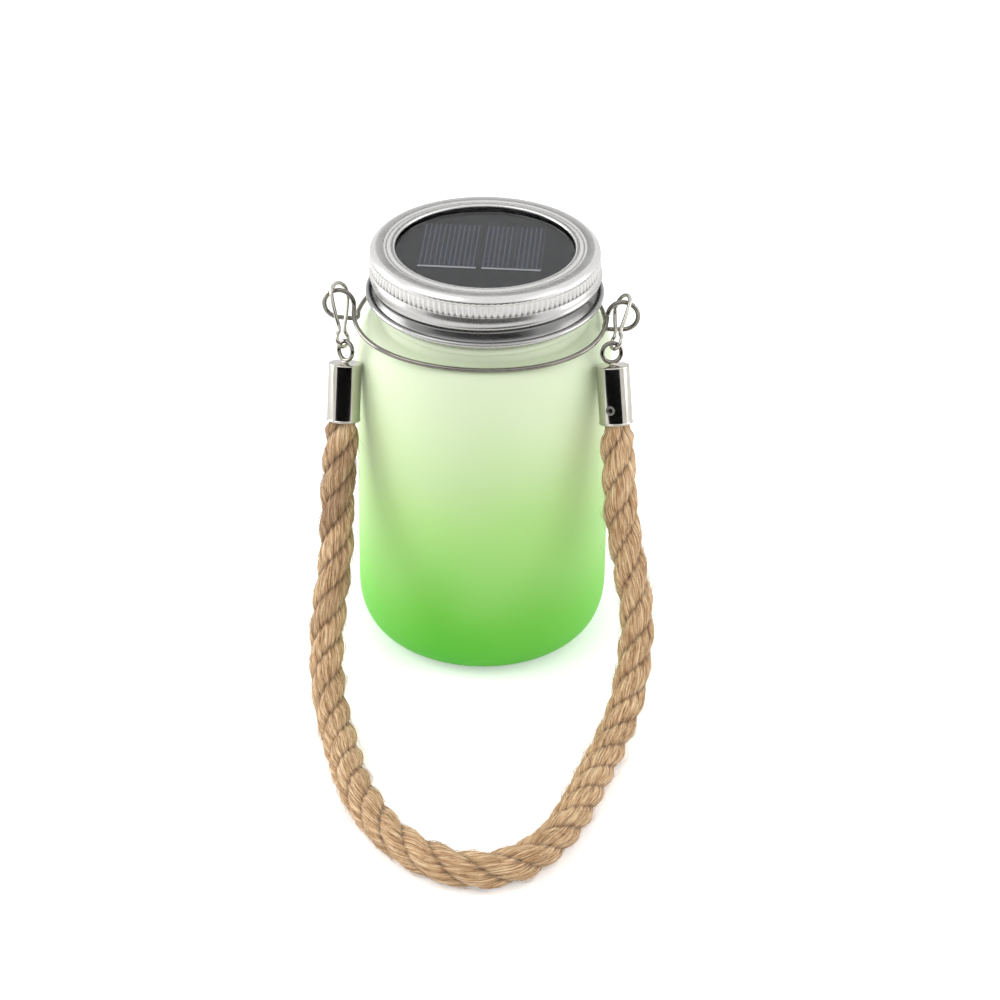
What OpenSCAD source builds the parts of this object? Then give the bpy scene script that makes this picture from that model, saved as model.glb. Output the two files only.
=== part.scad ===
// Solar jar lantern: a frosted glass jar with a screw band, a solar lamp insert and a rope handle.
// Units are millimetres. The origin is the middle of the jar's foot, and +Z is up.

/* [Jar] */
// Outer radius of the jar's body
jar_r = 41.4; // [38:0.1:46]
// Thickness of the body's wall
jar_wall = 3.2; // [2:0.1:4]
// Outer radius of the flat foot, where the heel starts
foot_r = 26.3; // [22:0.1:30]
// Height of the rounded heel
heel_h = 19; // [12:0.5:24]
// Height of the straight body, from the foot to the shoulder
body_h = 100; // [80:1:130]
// Height of the rounded shoulder
shoulder_h = 16; // [14:0.5:22]
// Thickness of the glass floor
floor_t = 5.5; // [4:0.1:8]
// Depth of the hollow under the foot
push_up = 1; // [0.4:0.1:2]

/* [Mouth and thread] */
// Inner radius of the mouth
mouth_r = 30; // [29:0.1:30.5]
// Thickness of the glass under the thread
finish_wall = 3.2; // [3:0.1:4]
// Height of the mouth's finish, from the shoulder to the rim
finish_h = 20.5; // [19:0.5:24]
// Lead of the single-start screw thread
thread_pitch = 5.08; // [4:0.02:6]
// Height of the glass thread ridge above its root
thread_depth = 1.6; // [1:0.1:1.8]
// Turns of thread on the glass
thread_turns = 1.2; // [1:0.05:1.5]
// Axial play between the glass thread and the band thread
thread_play = 0.3; // [0.15:0.05:0.5]

/* [Screw band] */
// Room for the rolled sheet between the glass thread and the outside of the knurl
band_room = 2.2; // [2:0.1:3]
// Thickness of the rolled sheet
band_t = 0.45; // [0.3:0.05:0.6]
// Radius of the window in the band's top
window_r = 29; // [26:0.1:29.3]
// Radius of the wire curl at the band's lower edge
curl_r = 0.95; // [0.7:0.05:1.1]

/* [Solar module] */
// Gap round the module's cup in the mouth
cup_play = 1.2; // [1:0.1:2]
// Wall of the module's cup
cup_wall = 1.6; // [1.2:0.1:1.8]
// Depth of the cup under its flange
cup_depth = 25.3; // [25:0.1:28]
// Thickness of the seal under the flange
seal_t = 0.8; // [0.6:0.1:1.2]
// Thickness of the clear panel cover
cover_t = 0.8; // [0.6:0.1:1]
// Length of one solar cell strip
cell_l = 30.5; // [24:0.5:31]
// Width of one solar cell strip
cell_w = 9.2; // [7:0.1:9.4]

/* [Battery and switch] */
// Diameter of the battery
battery_d = 10.5; // [10:0.1:11]
// Length of the battery with its nub
battery_l = 44.5; // [43:0.1:44.8]
// Travel of the switch knob
switch_travel = 2; // [1:0.1:2.5]

/* [Light string] */
// Diameter of the string's wire
string_d = 1.2; // [0.8:0.1:1.6]
// Turns that the string winds in the jar
string_turns = 2.1; // [1:0.1:3]
// Number of lights on the string
lights = 10; // [5:1:12]
// Diameter of a light's clear bead
light_d = 4; // [3:0.1:5]

/* [Neck wire and clips] */
// Diameter of the neck wire
wire_d = 1.5; // [1.2:0.1:1.6]
// Radius of an ear loop, at the middle of its wire
ear_r = 4.9; // [4.6:0.1:5.2]
// Diameter of the clip wire
clip_d = 1.3; // [1:0.1:1.4]
// Radius of the wide end of a clip
clip_wide_r = 3.75; // [3.4:0.05:4]
// Radius of the narrow end of a clip
clip_narrow_r = 2.6; // [2.4:0.1:2.7]

/* [Ferrules and rope] */
// Outer diameter of a ferrule
ferrule_d = 10.7; // [10:0.1:11]
// Length of a ferrule
ferrule_l = 19.1; // [16:0.1:20]
// Wall of a ferrule
ferrule_wall = 0.5; // [0.4:0.05:0.6]
// Diameter of the rope handle
rope_d = 11.4; // [10:0.2:11.6]

/* [Hidden] */

// A true circle needs more than twelve sides; the mesh of one takes this many.
$fn = 72;
eps = 0.01;
// Gap between pieces that seat on each other without touching
seat = 0.1;

// Jar levels
neck_z = body_h + shoulder_h;
rim_z = neck_z + finish_h;
jar_in_r = jar_r - jar_wall;
heel_power = 2.5;
thread_root_r = mouth_r + finish_wall;
thread_crest_r = thread_root_r + thread_depth;
neck_r = thread_root_r + 0.7;
thread_z = neck_z + 10.5;
bead_z = neck_z + 4.2;
bead_r = neck_r + 0.9;

// Band levels, counted down from its top face
band_r = thread_crest_r + band_room;
flange_z = rim_z + seal_t;
flange_h = 2.8;
flange_r = thread_root_r + 1.2;
band_top = flange_z + flange_h + seat + band_t;
band_edge_drop = 1.6;
knurl_drop = 6;
bead_drop = 9.8;
groove_drop = 11.6;
curl_drop = 16.1;
curl_z = band_top - curl_drop;
curl_ring_r = band_r + 0.45;
groove_r = band_r - 0.7;

// Module levels
cup_z = flange_z - cup_depth;
cup_r = mouth_r - cup_play;
cup_in_r = cup_r - cup_wall;
pocket_floor = flange_z - 0.7;
plate_t = 1.2;
board_t = 1.2;
pocket_r = window_r + 0.6;
board_r = pocket_r - 0.9;
cell_t = 0.25;
// Middle of the cells on the board, and the middles of the four strips from there
cell_mid = [-1.2, 2.6];
cell_seam = 0.5;
cell_split = 1.6;
cell_near = (cell_split + cell_w) / 2;
cell_far = cell_near + cell_w + cell_seam;
tab_t = 0.1;
cell_z = pocket_floor + board_t;
cover_z = cell_z + cell_t + tab_t + 0.05;
cover_r = pocket_r - 0.25;
ledge_r = board_r + 0.2;
circuit_z = cup_z + 15.2;
circuit_t = 1.2;
circuit_r = cup_in_r - 0.3;
circuit_seat_r = circuit_r - 1.3;
base_t = 1.6;
base_z = cup_z - base_t;
boss_r = 2.2;
boss_ring_r = cup_in_r - 4.7;
boss_angles = [90, 210, 330];
screw_r = 1;

// Battery bay, a tray on the base cover
battery_z = cup_z + 0.3 + battery_d / 2;
battery_x = 0.7;
door_l = 49;
door_w = 13;
door_gap = 0.2;
bay_x = 25.4;
bay_wall = 1;
bay_h = 10;
bay_w = 9;
contact_t = 0.4;
spring_r = 2.6;
spring_wire = 0.8;

// Slide switch on the base cover
switch_y = 14.5;
switch_x = -1;
switch_l = 8.5;
switch_w = 3.7;
switch_h = 3.5;
knob_l = 2;
knob_w = 1.5;
knob_out = 1.6;

// Light string
exit_y = -14;
grommet_r = 2.6;
string_top_z = base_z - 6;
string_low_z = floor_t + 9;
string_in_r = -exit_y;
string_out_r = jar_in_r - 7.2;
string_rings = 72;

// Neck wire and its ears, which carry the handle's hinge; both stand a little in front of the middle
ear_seat_r = max(jar_r, neck_r + 7.5);
ear_x_left = -(ear_seat_r + 5.1);
ear_x_right = ear_seat_r + 3.3;
ear_y = -5;
ear_foot_z = neck_z - 1;
ear_z = ear_foot_z + ear_r;
hinge_z = ear_z + ear_r;
entry_y = ear_y - wire_d - 0.1;
wire_front_r = neck_r + 3.5;
wire_front_y = -wire_front_r;
wire_back_y = neck_r + 2.4;
wire_front_z = shoulder_top(wire_front_r) + wire_d / 2 + 0.7;
wire_back_rise = 2.5;

// Handle: each row is the left or the right side's own places
ferrule_top = [
  [-(ear_seat_r + ferrule_d / 2 - 3.25), -17, neck_z - 11],
  [ear_seat_r + ferrule_d / 2 - 4.45, -19, neck_z - 6.5]
];
ferrule_up = [unit([0.3, 5.3, 18.5]), unit([-1.9, 5.3, 18.1])];
ferrule_mouth = [for (i = [0, 1]) ferrule_top[i] - ferrule_l * ferrule_up[i]];
clip_yaw = 38;
clip_waist_r = 1.35;
// How far the wide end stands behind the hinge, and the length of the narrow end with its neck
clip_play = 2.4;
clip_neck = 4;
// How far the eye's wire lies past the middle of the narrow end
clip_slip = 0.9;
eye_wire_d = 1.4;
eye_r = 3.1;
// Turn of each eye about its ferrule, and the place on its ring where the clip holds it
eye_turn = [40, 15];
eye_hold = [60, 60];
rope_core_r = ferrule_d / 2 - ferrule_wall - 0.4;

// The rope leaves the left ferrule, lies on the ground in front of the jar and comes back on the right.
rope_route = [
  [-43.6, -19.3, 97], [-43.8, -22.3, 86.5], [-44, -22.9, 84.6], [-44.8, -26, 72],
  [-45.3, -30.5, 58], [-45.2, -37, 44], [-46.4, -45.5, 31], [-46.4, -56, 20],
  [-44.4, -68, 12], [-40.6, -81, 7.5], [-36.7, -94, 6], [-32.5, -108, 6],
  [-27, -120, 6], [-20.5, -131, 6], [-11.5, -141, 6], [0, -148, 6],
  [12, -149.5, 6], [23, -144, 6], [31, -134, 6], [36.5, -121, 6],
  [40.4, -107, 6], [43.9, -93, 6], [47.7, -79.5, 7.5], [51.4, -66, 12],
  [53.2, -53.5, 20], [53.4, -43, 31], [50.4, -35.5, 44], [47.4, -31, 58],
  [45.8, -28.2, 73], [44.4, -24.9, 89.2], [44.2, -24.4, 91.1], [43.3, -21.7, 100.5]
];

// ---- Helpers ----

function unit(v) = v / norm(v);

// Point i of a path, with its ends repeated
function at(path, i) = path[max(0, min(len(path) - 1, i))];

// Direction of a path at point i; a closed path wraps round
function heading(path, i, closed) =
  let (n = len(path))
  unit(closed ? path[(i + 1) % n] - path[(i + n - 1) % n] : at(path, i + 1) - at(path, i - 1));

// Normals carried along the path with no twist of their own
function normals(path, closed, i, last, found) =
  i == len(path) ? found
  : let (t = heading(path, i, closed), n = unit(last - (last * t) * t))
    normals(path, closed, i + 1, n, concat(found, [n]));

// A round tube along a path; radii holds one radius for each point
module tube(path, radii, sides = 8, closed = false) {
  n = len(path);
  t0 = heading(path, 0, closed);
  start = abs(t0.z) < 0.9 ? [0, 0, 1] : [1, 0, 0];
  frame = normals(path, closed, 0, start, []);
  points = [
    for (i = [0:n - 1])
      let (t = heading(path, i, closed), a = frame[i], b = cross(t, a))
      for (k = [0:sides - 1])
        path[i] + radii[i] * (cos(360 * k / sides) * a + sin(360 * k / sides) * b)
  ];
  spans = closed ? n : n - 1;
  walls = [
    for (i = [0:spans - 1])
      let (j = (i + 1) % n)
      for (k = [0:sides - 1])
        let (m = (k + 1) % sides)
        each [
          [i * sides + k, j * sides + k, j * sides + m],
          [i * sides + k, j * sides + m, i * sides + m]
        ]
  ];
  caps = closed ? [] : [
    [for (k = [0:sides - 1]) k],
    [for (k = [sides - 1:-1:0]) (n - 1) * sides + k]
  ];
  polyhedron(points, concat(walls, caps), convexity = 10);
}

function same_radius(path, r) = [for (p = path) r];

// A thread ridge of short ring pieces, each a little higher than the last.
// It stands between root and crest, and its two widths are along the axis.
module ridge(root, crest, root_w, crest_w, z, turns) {
  step = 15;
  for (i = [0:round(turns * 360 / step) - 1])
    rotate([0, 0, i * step - 90])
      translate([0, 0, z + thread_pitch * i * step / 360])
        rotate_extrude(angle = step + 0.2)
          polygon([[root, -root_w / 2], [crest, -crest_w / 2], [crest, crest_w / 2], [root, root_w / 2]]);
}

// Put a piece drawn along +Z with its base at the origin between two points
module along(base, tip) {
  d = unit(tip - base);
  translate(base)
    rotate(a = acos(d.z), v = [-d.y, d.x, 0])
      children();
}

// ---- Jar ----

// Points of the rounded heel, from the foot to the wall, by a superellipse
function heel(r0, r1, z0, h) = [
  for (i = [0:12])
    let (z = (1 - cos(i * 7.5)) * h, u = pow(1 - z / h, heel_power))
    [r0 + (r1 - r0) * pow(1 - u, 1 / heel_power), z0 + z]
];

// Height of the shoulder's surface at a radius
function shoulder_top(r) =
  body_h + shoulder_h * sqrt(max(0, 1 - pow((r - neck_r) / (jar_r - neck_r), 2)));

// Points of the rounded shoulder, from the wall to the neck, by an ellipse
function shoulder(r0, r1, z0, h) = [
  for (i = [0:10]) [r1 + (r0 - r1) * cos(i * 9), z0 + h * sin(i * 9)]
];

module jar_shell() {
  rotate_extrude()
    polygon(concat(
      [[0, push_up], [foot_r - 10, push_up], [foot_r - 8, 0]],
      heel(foot_r, jar_r, 0, heel_h),
      shoulder(jar_r, neck_r, body_h, shoulder_h),
      [[neck_r, bead_z - 1.4], [bead_r, bead_z - 0.6], [bead_r, bead_z + 0.6], [neck_r, bead_z + 1.4]],
      [[neck_r, bead_z + 2.4], [thread_root_r, bead_z + 3.2]],
      [[thread_root_r, rim_z - 0.8], [thread_root_r - 0.8, rim_z], [mouth_r + 0.8, rim_z]],
      [[mouth_r, rim_z - 0.8]],
      [for (p = [10:-1:0]) shoulder(jar_in_r, mouth_r, body_h - 1.5, shoulder_h - 1)[p]],
      [for (p = [12:-1:0]) heel(foot_r - 3, jar_in_r, floor_t, heel_h - 2)[p]],
      [[0, floor_t]]
    ));
}

module glass_jar() {
  color("palegreen", 0.6)
    union() {
      jar_shell();
      ridge(thread_root_r - 0.4, thread_crest_r, 2.6, 1, thread_z, thread_turns);
    }
}

// ---- Screw band ----

// Outer line of the band's skirt, from the top edge down to the curl
function skirt(r) = [
  [r - 1.2, band_top],
  [r, band_top - band_edge_drop],
  [r - 0.1, band_top - knurl_drop],
  [r + 0.1, band_top - knurl_drop - 0.8],
  [r + 0.1, band_top - bead_drop + 0.6],
  [r - 0.7, band_top - groove_drop],
  [r - 0.7, curl_z + 1.6],
  [r - 0.3, curl_z]
];

module screw_band() {
  outer = skirt(band_r);
  inner = [for (i = [7:-1:0]) skirt(band_r - band_t)[i] - [0, i == 0 ? band_t : 0]];
  color("silver")
    union() {
      rotate_extrude()
        polygon(concat([[window_r, band_top]], outer, inner, [[window_r, band_top - band_t]]));
      rotate_extrude()
        translate([curl_ring_r, curl_z])
          circle(curl_r, $fn = 24);
      ridge(
        groove_r - band_t / 2, thread_crest_r - 0.7, 2, 0.8,
        thread_z - 1.2 - thread_play, thread_turns - 0.2
      );
    }
}

module seal_ring() {
  color("gainsboro")
    rotate_extrude()
      translate([mouth_r + 0.9, rim_z])
        square([thread_root_r - mouth_r - 0.9, seal_t]);
}

// ---- Solar module ----

module bosses(r, z0, z1) {
  for (a = boss_angles)
    rotate(a)
      translate([boss_ring_r, 0, z0])
        cylinder(r = r, h = z1 - z0);
}

module module_housing() {
  color("#1c1d1f")
    difference() {
      union() {
        rotate_extrude()
          polygon([
            [0, pocket_floor - plate_t], [circuit_seat_r, pocket_floor - plate_t],
            [circuit_seat_r, circuit_z + circuit_t], [cup_in_r, circuit_z + circuit_t],
            [cup_in_r, cup_z], [cup_r, cup_z], [cup_r, flange_z], [flange_r, flange_z],
            [flange_r, flange_z + flange_h], [pocket_r, flange_z + flange_h], [pocket_r, cover_z],
            [ledge_r, cover_z], [ledge_r, pocket_floor], [0, pocket_floor]
          ]);
        bosses(boss_r, cup_z, pocket_floor - plate_t + eps);
      }
      bosses(screw_r, cup_z - eps, cup_z + 8);
      translate([0, 6, pocket_floor - plate_t - eps])
        cylinder(r = 2.5, h = plate_t + 2 * eps);
    }
}

module panel_board() {
  color("#0b0c0e")
    translate([0, 0, pocket_floor])
      cylinder(r = board_r, h = board_t);
}

module solar_cells() {
  color("#101a38")
    for (x = [-cell_far, -cell_near, cell_near, cell_far])
      translate([cell_mid.x + x - cell_w / 2, cell_mid.y - cell_l / 2, cell_z])
        cube([cell_w, cell_l, cell_t]);
}

// A ribbon along the near edge of each pair of strips
module cell_tabs() {
  pair_w = 2 * cell_w + cell_seam;
  color("#c9cdd2")
    for (x = [-cell_split / 2 - pair_w, cell_split / 2])
      translate([cell_mid.x + x + 0.1, cell_mid.y - cell_l / 2 + 0.2, cell_z + cell_t])
        cube([pair_w - 0.2, 0.8, tab_t]);
}

module panel_cover() {
  color("#20242a", 0.5)
    translate([0, 0, cover_z])
      cylinder(r = cover_r, h = cover_t);
}

module panel_leads() {
  color("firebrick")
    for (x = [-1, 1])
      translate([x, 6, circuit_z + circuit_t])
        cylinder(r = 0.5, h = pocket_floor - circuit_z - circuit_t);
}

module circuit_board() {
  color("darkgreen")
    difference() {
      translate([0, 0, circuit_z])
        cylinder(r = circuit_r, h = circuit_t);
      bosses(boss_r + 0.4, circuit_z - eps, circuit_z + circuit_t + eps);
    }
}

module controller_chip() {
  color("#202020")
    translate([8, -10, circuit_z - 1.5])
      cube([5, 4, 1.5]);
}

module inductor_coil() {
  color("saddlebrown")
    translate([-9, -9, circuit_z - 4])
      difference() {
        cylinder(r = 3, h = 4);
        translate([0, 0, -eps])
          cylinder(r = 0.8, h = 1);
      }
}

// Wires from the battery contacts and the switch up to the circuit board
module hookup_leads() {
  contact_top = cup_z + bay_h;
  switch_top = cup_z + switch_h;
  color("firebrick") {
    for (x = [-bay_x + contact_t / 2, bay_x - contact_t / 2])
      translate([x, 0, contact_top])
        cylinder(r = 0.18, h = circuit_z - contact_top);
    for (x = [-2.5, 0, 2.5])
      translate([switch_x + x, switch_y, switch_top])
        cylinder(r = 0.4, h = circuit_z - switch_top);
  }
}

module battery_cell() {
  nub_l = 0.8;
  color("seagreen")
    translate([battery_x - battery_l / 2, 0, battery_z])
      rotate([0, 90, 0])
        union() {
          cylinder(r = battery_d / 2, h = battery_l - nub_l);
          translate([0, 0, battery_l - nub_l - eps])
            cylinder(r = 1.9, h = nub_l + eps);
        }
}

// Spring contact: a plate against the bay's end wall, and a coil that presses on the battery
module battery_spring() {
  x0 = -bay_x + contact_t;
  x1 = battery_x - battery_l / 2 - 0.15 - spring_wire / 2;
  coil = [
    for (i = [0:40])
      [x0 + (x1 - x0) * i / 40, spring_r * cos(i * 22), battery_z + spring_r * sin(i * 22)]
  ];
  color("silver") {
    translate([-bay_x, -4, cup_z + 0.2])
      cube([contact_t, 8, bay_h - 0.2]);
    tube(coil, same_radius(coil, spring_wire / 2), 8);
  }
}

module battery_contact() {
  bump = bay_x - contact_t - (battery_x + battery_l / 2) - 0.15;
  color("silver")
    union() {
      translate([bay_x - contact_t, -4, cup_z + 0.2])
        cube([contact_t, 8, bay_h - 0.2]);
      translate([bay_x - contact_t - bump, 0, battery_z])
        rotate([0, 90, 0])
          cylinder(r = 1.5, h = bump + eps);
    }
}

// Base of the cup, with the battery bay's end walls, the door's opening and the switch slot
module base_cover() {
  color("#232427")
    difference() {
      union() {
        translate([0, 0, base_z])
          cylinder(r = cup_r, h = base_t);
        for (x = [-bay_x - bay_wall, bay_x])
          translate([x, -bay_w / 2, cup_z - eps])
            cube([bay_wall, bay_w, bay_h + eps]);
      }
      translate([-door_l / 2, -door_w / 2, base_z - eps])
        cube([door_l, door_w, base_t + 2 * eps]);
      bosses(screw_r + 0.3, base_z - eps, cup_z + eps);
      translate([switch_x - knob_l / 2 - 0.2, switch_y - knob_w / 2 - 0.2, base_z - eps])
        cube([knob_l + switch_travel + 0.4, knob_w + 0.4, base_t + 2 * eps]);
      translate([0, exit_y, base_z - eps])
        cylinder(r = grommet_r - 0.8, h = base_t + 2 * eps);
    }
}

module battery_door() {
  color("#2b2c30")
    difference() {
      union() {
        translate([-door_l / 2 + door_gap, -door_w / 2 + door_gap, base_z])
          cube([door_l - 2 * door_gap, door_w - 2 * door_gap, base_t]);
        for (x = [-14, 14])
          translate([x - 1, -door_w / 2 + door_gap, cup_z - eps])
            cube([2, door_w - 2 * door_gap, 0.15 + eps]);
      }
      for (i = [-2:2])
        translate([i * 2.4 - 0.4, -3, base_z - eps])
          cube([0.8, 6, 0.4]);
    }
}

module cover_screws() {
  head_r = 1.9;
  head_h = 1.3;
  color("silver")
    for (a = boss_angles)
      rotate(a)
        translate([boss_ring_r, 0, base_z])
          difference() {
            union() {
              translate([0, 0, -head_h])
                cylinder(r = head_r, h = head_h);
              translate([0, 0, -eps])
                cylinder(r = screw_r - 0.05, h = base_t + 6);
            }
            for (turn = [0, 90])
              rotate(turn)
                translate([-1.2, -0.2, -head_h - eps])
                  cube([2.4, 0.4, 0.7]);
          }
}

module switch_body() {
  color("#101012")
    difference() {
      translate([switch_x + switch_travel / 2 - switch_l / 2, switch_y - switch_w / 2, cup_z])
        cube([switch_l, switch_w, switch_h]);
      translate([switch_x - knob_l / 2 - 0.2, switch_y - knob_w / 2 - 0.2, cup_z - eps])
        cube([knob_l + switch_travel + 0.4, knob_w + 0.4, 1.2]);
    }
}

module switch_knob() {
  color("#e8e8e8")
    translate([switch_x - knob_l / 2, switch_y - knob_w / 2, base_z - knob_out])
      cube([knob_l, knob_w, knob_out + base_t + 1]);
}

// ---- Light string ----

// Rubber ring in the base cover's outlet
module string_grommet() {
  color("#2a2a2a")
    translate([0, exit_y, 0])
      difference() {
        union() {
          translate([0, 0, base_z - 1])
            cylinder(r = grommet_r, h = 1);
          translate([0, 0, base_z - eps])
            cylinder(r = grommet_r - 0.85, h = base_t + eps);
        }
        translate([0, 0, base_z - 2])
          cylinder(r = string_d / 2 + 0.15, h = base_t + 4);
      }
}

// The string hangs from the circuit board and winds outwards on its way down
function string_point(u) =
  let (
    a = -90 + 360 * string_turns * u,
    r = string_in_r + (string_out_r - string_in_r) * sin(90 * min(1, 2.2 * u)),
    z = string_top_z + (string_low_z - string_top_z) * (u + 0.03 * sin(720 * u))
  )
  [r * cos(a), r * sin(a), z];

string_path = concat(
  [[0, exit_y, circuit_z], [0, exit_y, base_z - 2], [0.2, exit_y, string_top_z + 2]],
  [for (i = [0:string_rings]) string_point(i / string_rings)]
);

module string_wire() {
  color("#4d4a44")
    tube(string_path, same_radius(string_path, string_d / 2), 8);
}

module string_lights() {
  color("ivory", 0.7)
    for (i = [1:lights])
      translate(string_point((i - 0.35) / (lights - 0.3)))
        sphere(d = light_d, $fn = 24);
}

// ---- Neck wire ----

ear_mid_x = (ear_x_left + ear_x_right) / 2;
neck_half_x = (ear_x_right - ear_x_left) / 2 - ear_r;

// One side's loop as points from its jar-side foot, round the outside, to its straight way back
function ear_loop(x, side) = [
  for (i = [0:18])
    let (a = 15 * i)
    [
      x - side * ear_r * cos(a),
      ear_y + (entry_y - ear_y) * pow(max(0, 1 - i / 6), 2),
      ear_z + ear_r * sin(a)
    ]
];

function front_arc() = [
  for (i = [1:29])
    let (a = 6 * i)
    [
      ear_mid_x - neck_half_x * cos(a),
      entry_y + (wire_front_y - entry_y) * sin(a),
      wire_front_z + (ear_z - wire_front_z) * pow(1 - sin(a), 2)
    ]
];

function back_arc() = [
  for (i = [0:30])
    let (a = 6 * i)
    [
      ear_mid_x + (neck_half_x - 0.5) * cos(a),
      ear_y + (wire_back_y - ear_y) * sin(a),
      ear_foot_z + wire_back_rise * sin(a)
    ]
];

module neck_wire() {
  left = ear_loop(ear_x_left, -1);
  path = concat(
    front_arc(),
    ear_loop(ear_x_right, 1),
    back_arc(),
    [for (i = [18:-1:0]) left[i]]
  );
  color("silver")
    tube(path, same_radius(path, wire_d / 2), 8, true);
}

// ---- Clips, ferrules and rope ----

function side_of(i) = i == 0 ? -1 : 1;

// Height of the middle of an eye's ring above its ferrule
eye_rise = eye_r + eye_wire_d / 2 + 0.2;

// A vector drawn in a frame along +Z, as it lies once +Z leans to a direction
function leaned(v, d) =
  let (k = cross([0, 0, 1], d))
  v + cross(k, v) + cross(k, cross(k, v)) / (1 + d.z);

// Where the clip's narrow end holds the eye
function clip_end(i) =
  let (
    across = [side_of(i) * cos(eye_turn[i]), sin(eye_turn[i]), 0],
    spot = eye_r * (cos(eye_hold[i]) * across + sin(eye_hold[i]) * [0, 0, 1])
  )
  ferrule_top[i] + leaned(spot + [0, 0, eye_rise], ferrule_up[i]);

// Point k sixths of the way along one leg of a clip, from its wide end to its waist
function clip_leg(k, reach, side) =
  let (mid = clip_wide_r - clip_play)
  [
    mid + (reach - clip_neck - mid) * k / 6,
    side * (clip_wide_r + (clip_waist_r - clip_wide_r) * pow(k / 6, 1.4))
  ];

// Pear outline of a clip in its own plane: wide end round the hinge, narrow end at its reach
function clip_outline(reach) = concat(
  [for (k = [6:-1:0]) clip_leg(k, reach, 1)],
  [for (a = [106:14.8:255]) [clip_wide_r - clip_play, 0] + clip_wide_r * [cos(a), sin(a)]],
  [for (k = [0:6]) clip_leg(k, reach, -1)],
  [for (a = [-146:20.8:146]) [reach, 0] + clip_narrow_r * [cos(a), sin(a)]]
);

module clip(i) {
  hinge = [i == 0 ? ear_x_left : ear_x_right, ear_y, hinge_z];
  d = unit(clip_end(i) - hinge);
  up = unit([0, -d.z, d.y] * sign(d.y));
  flat = cos(clip_yaw) * up + side_of(i) * sin(clip_yaw) * [1, 0, 0];
  e = unit(flat - (flat * d) * d);
  path = [
    for (p = clip_outline(norm(clip_end(i) - hinge) - clip_slip)) hinge + p[0] * d + p[1] * e
  ];
  color("silver")
    tube(path, same_radius(path, clip_d / 2), 8, true);
}

module clip_left() {
  clip(0);
}

module clip_right() {
  clip(1);
}

// A drawn cup: closed at the top, rolled at the mouth, with a tapped hole in its front
module ferrule(i) {
  r = ferrule_d / 2;
  in_r = r - ferrule_wall;
  color("silver")
    along(ferrule_mouth[i], ferrule_top[i])
      difference() {
        union() {
          cylinder(r = r, h = ferrule_l);
          cylinder(r = r + 0.15, h = 0.9);
        }
        translate([0, 0, -eps])
          cylinder(r = in_r, h = ferrule_l - 0.8);
        rotate([0, 0, screw_turn[i]])
          translate([0, 0, set_screw_z])
            rotate([0, 90, 0])
              cylinder(r = set_screw_r, h = ferrule_d);
      }
}

set_screw_z = 5.3;
set_screw_r = 1.5;
// The left screw faces back towards the jar, and the right one faces forward
screw_turn = [75, -105];

module ferrule_left() {
  ferrule(0);
}

module ferrule_right() {
  ferrule(1);
}

module set_screws() {
  color("gray")
    for (i = [0, 1])
      along(ferrule_mouth[i], ferrule_top[i])
        rotate([0, 0, screw_turn[i]])
          translate([ferrule_d / 2 - ferrule_wall - 0.3, 0, set_screw_z])
            rotate([0, 90, 0])
              difference() {
                cylinder(r = set_screw_r - 0.02, h = ferrule_wall + 0.25);
                translate([0, 0, 0.3])
                  cylinder(r = 0.75, h = 1, $fn = 6);
              }
}

// A wire ring with a short foot on the ferrule's top
module eye(i) {
  color("silver")
    along(ferrule_mouth[i], ferrule_top[i])
      translate([0, 0, ferrule_l])
        rotate([0, 0, side_of(i) * eye_turn[i]])
          union() {
            translate([0, 0, eye_rise])
              rotate([90, 0, 0])
                rotate_extrude()
                  translate([eye_r, 0])
                    circle(eye_wire_d / 2, $fn = 24);
            translate([0, 0, 0.15])
              cylinder(r = 1.1, h = 1);
          }
}

module eye_left() {
  eye(0);
}

module eye_right() {
  eye(1);
}

module rope_handle() {
  n = len(rope_route);
  radii = [for (i = [0:n - 1]) i < 2 || i > n - 3 ? rope_core_r : rope_d / 2];
  color("burlywood")
    tube(rope_route, radii, 12);
}

glass_jar();
screw_band();
seal_ring();
module_housing();
panel_cover();
solar_cells();
cell_tabs();
panel_board();
panel_leads();
circuit_board();
controller_chip();
inductor_coil();
hookup_leads();
battery_cell();
battery_spring();
battery_contact();
base_cover();
battery_door();
cover_screws();
switch_body();
switch_knob();
string_grommet();
string_wire();
string_lights();
neck_wire();
clip_left();
clip_right();
ferrule_left();
ferrule_right();
eye_left();
eye_right();
set_screws();
rope_handle();
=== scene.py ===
"""Solar jar lantern: the looks of a frosted jar with a screw band, a lamp module and a rope handle.

Shapes are worked out in millimetres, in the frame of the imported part, and are scaled to metres as
they are put into a mesh.
"""

import math

import bpy
import numpy as np
from mathutils import Matrix, Vector


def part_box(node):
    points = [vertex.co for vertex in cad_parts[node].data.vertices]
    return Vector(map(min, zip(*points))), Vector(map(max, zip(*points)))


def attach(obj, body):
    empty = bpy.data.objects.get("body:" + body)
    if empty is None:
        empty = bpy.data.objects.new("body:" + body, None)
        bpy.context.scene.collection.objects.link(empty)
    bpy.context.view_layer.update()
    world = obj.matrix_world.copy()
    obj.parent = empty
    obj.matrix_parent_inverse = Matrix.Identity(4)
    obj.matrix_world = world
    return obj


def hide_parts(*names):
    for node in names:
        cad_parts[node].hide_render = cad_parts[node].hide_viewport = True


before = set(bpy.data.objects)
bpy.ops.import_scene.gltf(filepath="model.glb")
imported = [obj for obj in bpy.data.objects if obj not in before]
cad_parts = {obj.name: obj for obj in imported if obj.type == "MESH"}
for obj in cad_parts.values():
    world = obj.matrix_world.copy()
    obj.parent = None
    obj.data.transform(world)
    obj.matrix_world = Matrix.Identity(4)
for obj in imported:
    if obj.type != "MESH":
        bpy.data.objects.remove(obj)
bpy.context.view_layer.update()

MM = 0.001
TURN = 2 * math.pi
rng = np.random.default_rng(7)


# ------ Helpers


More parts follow.
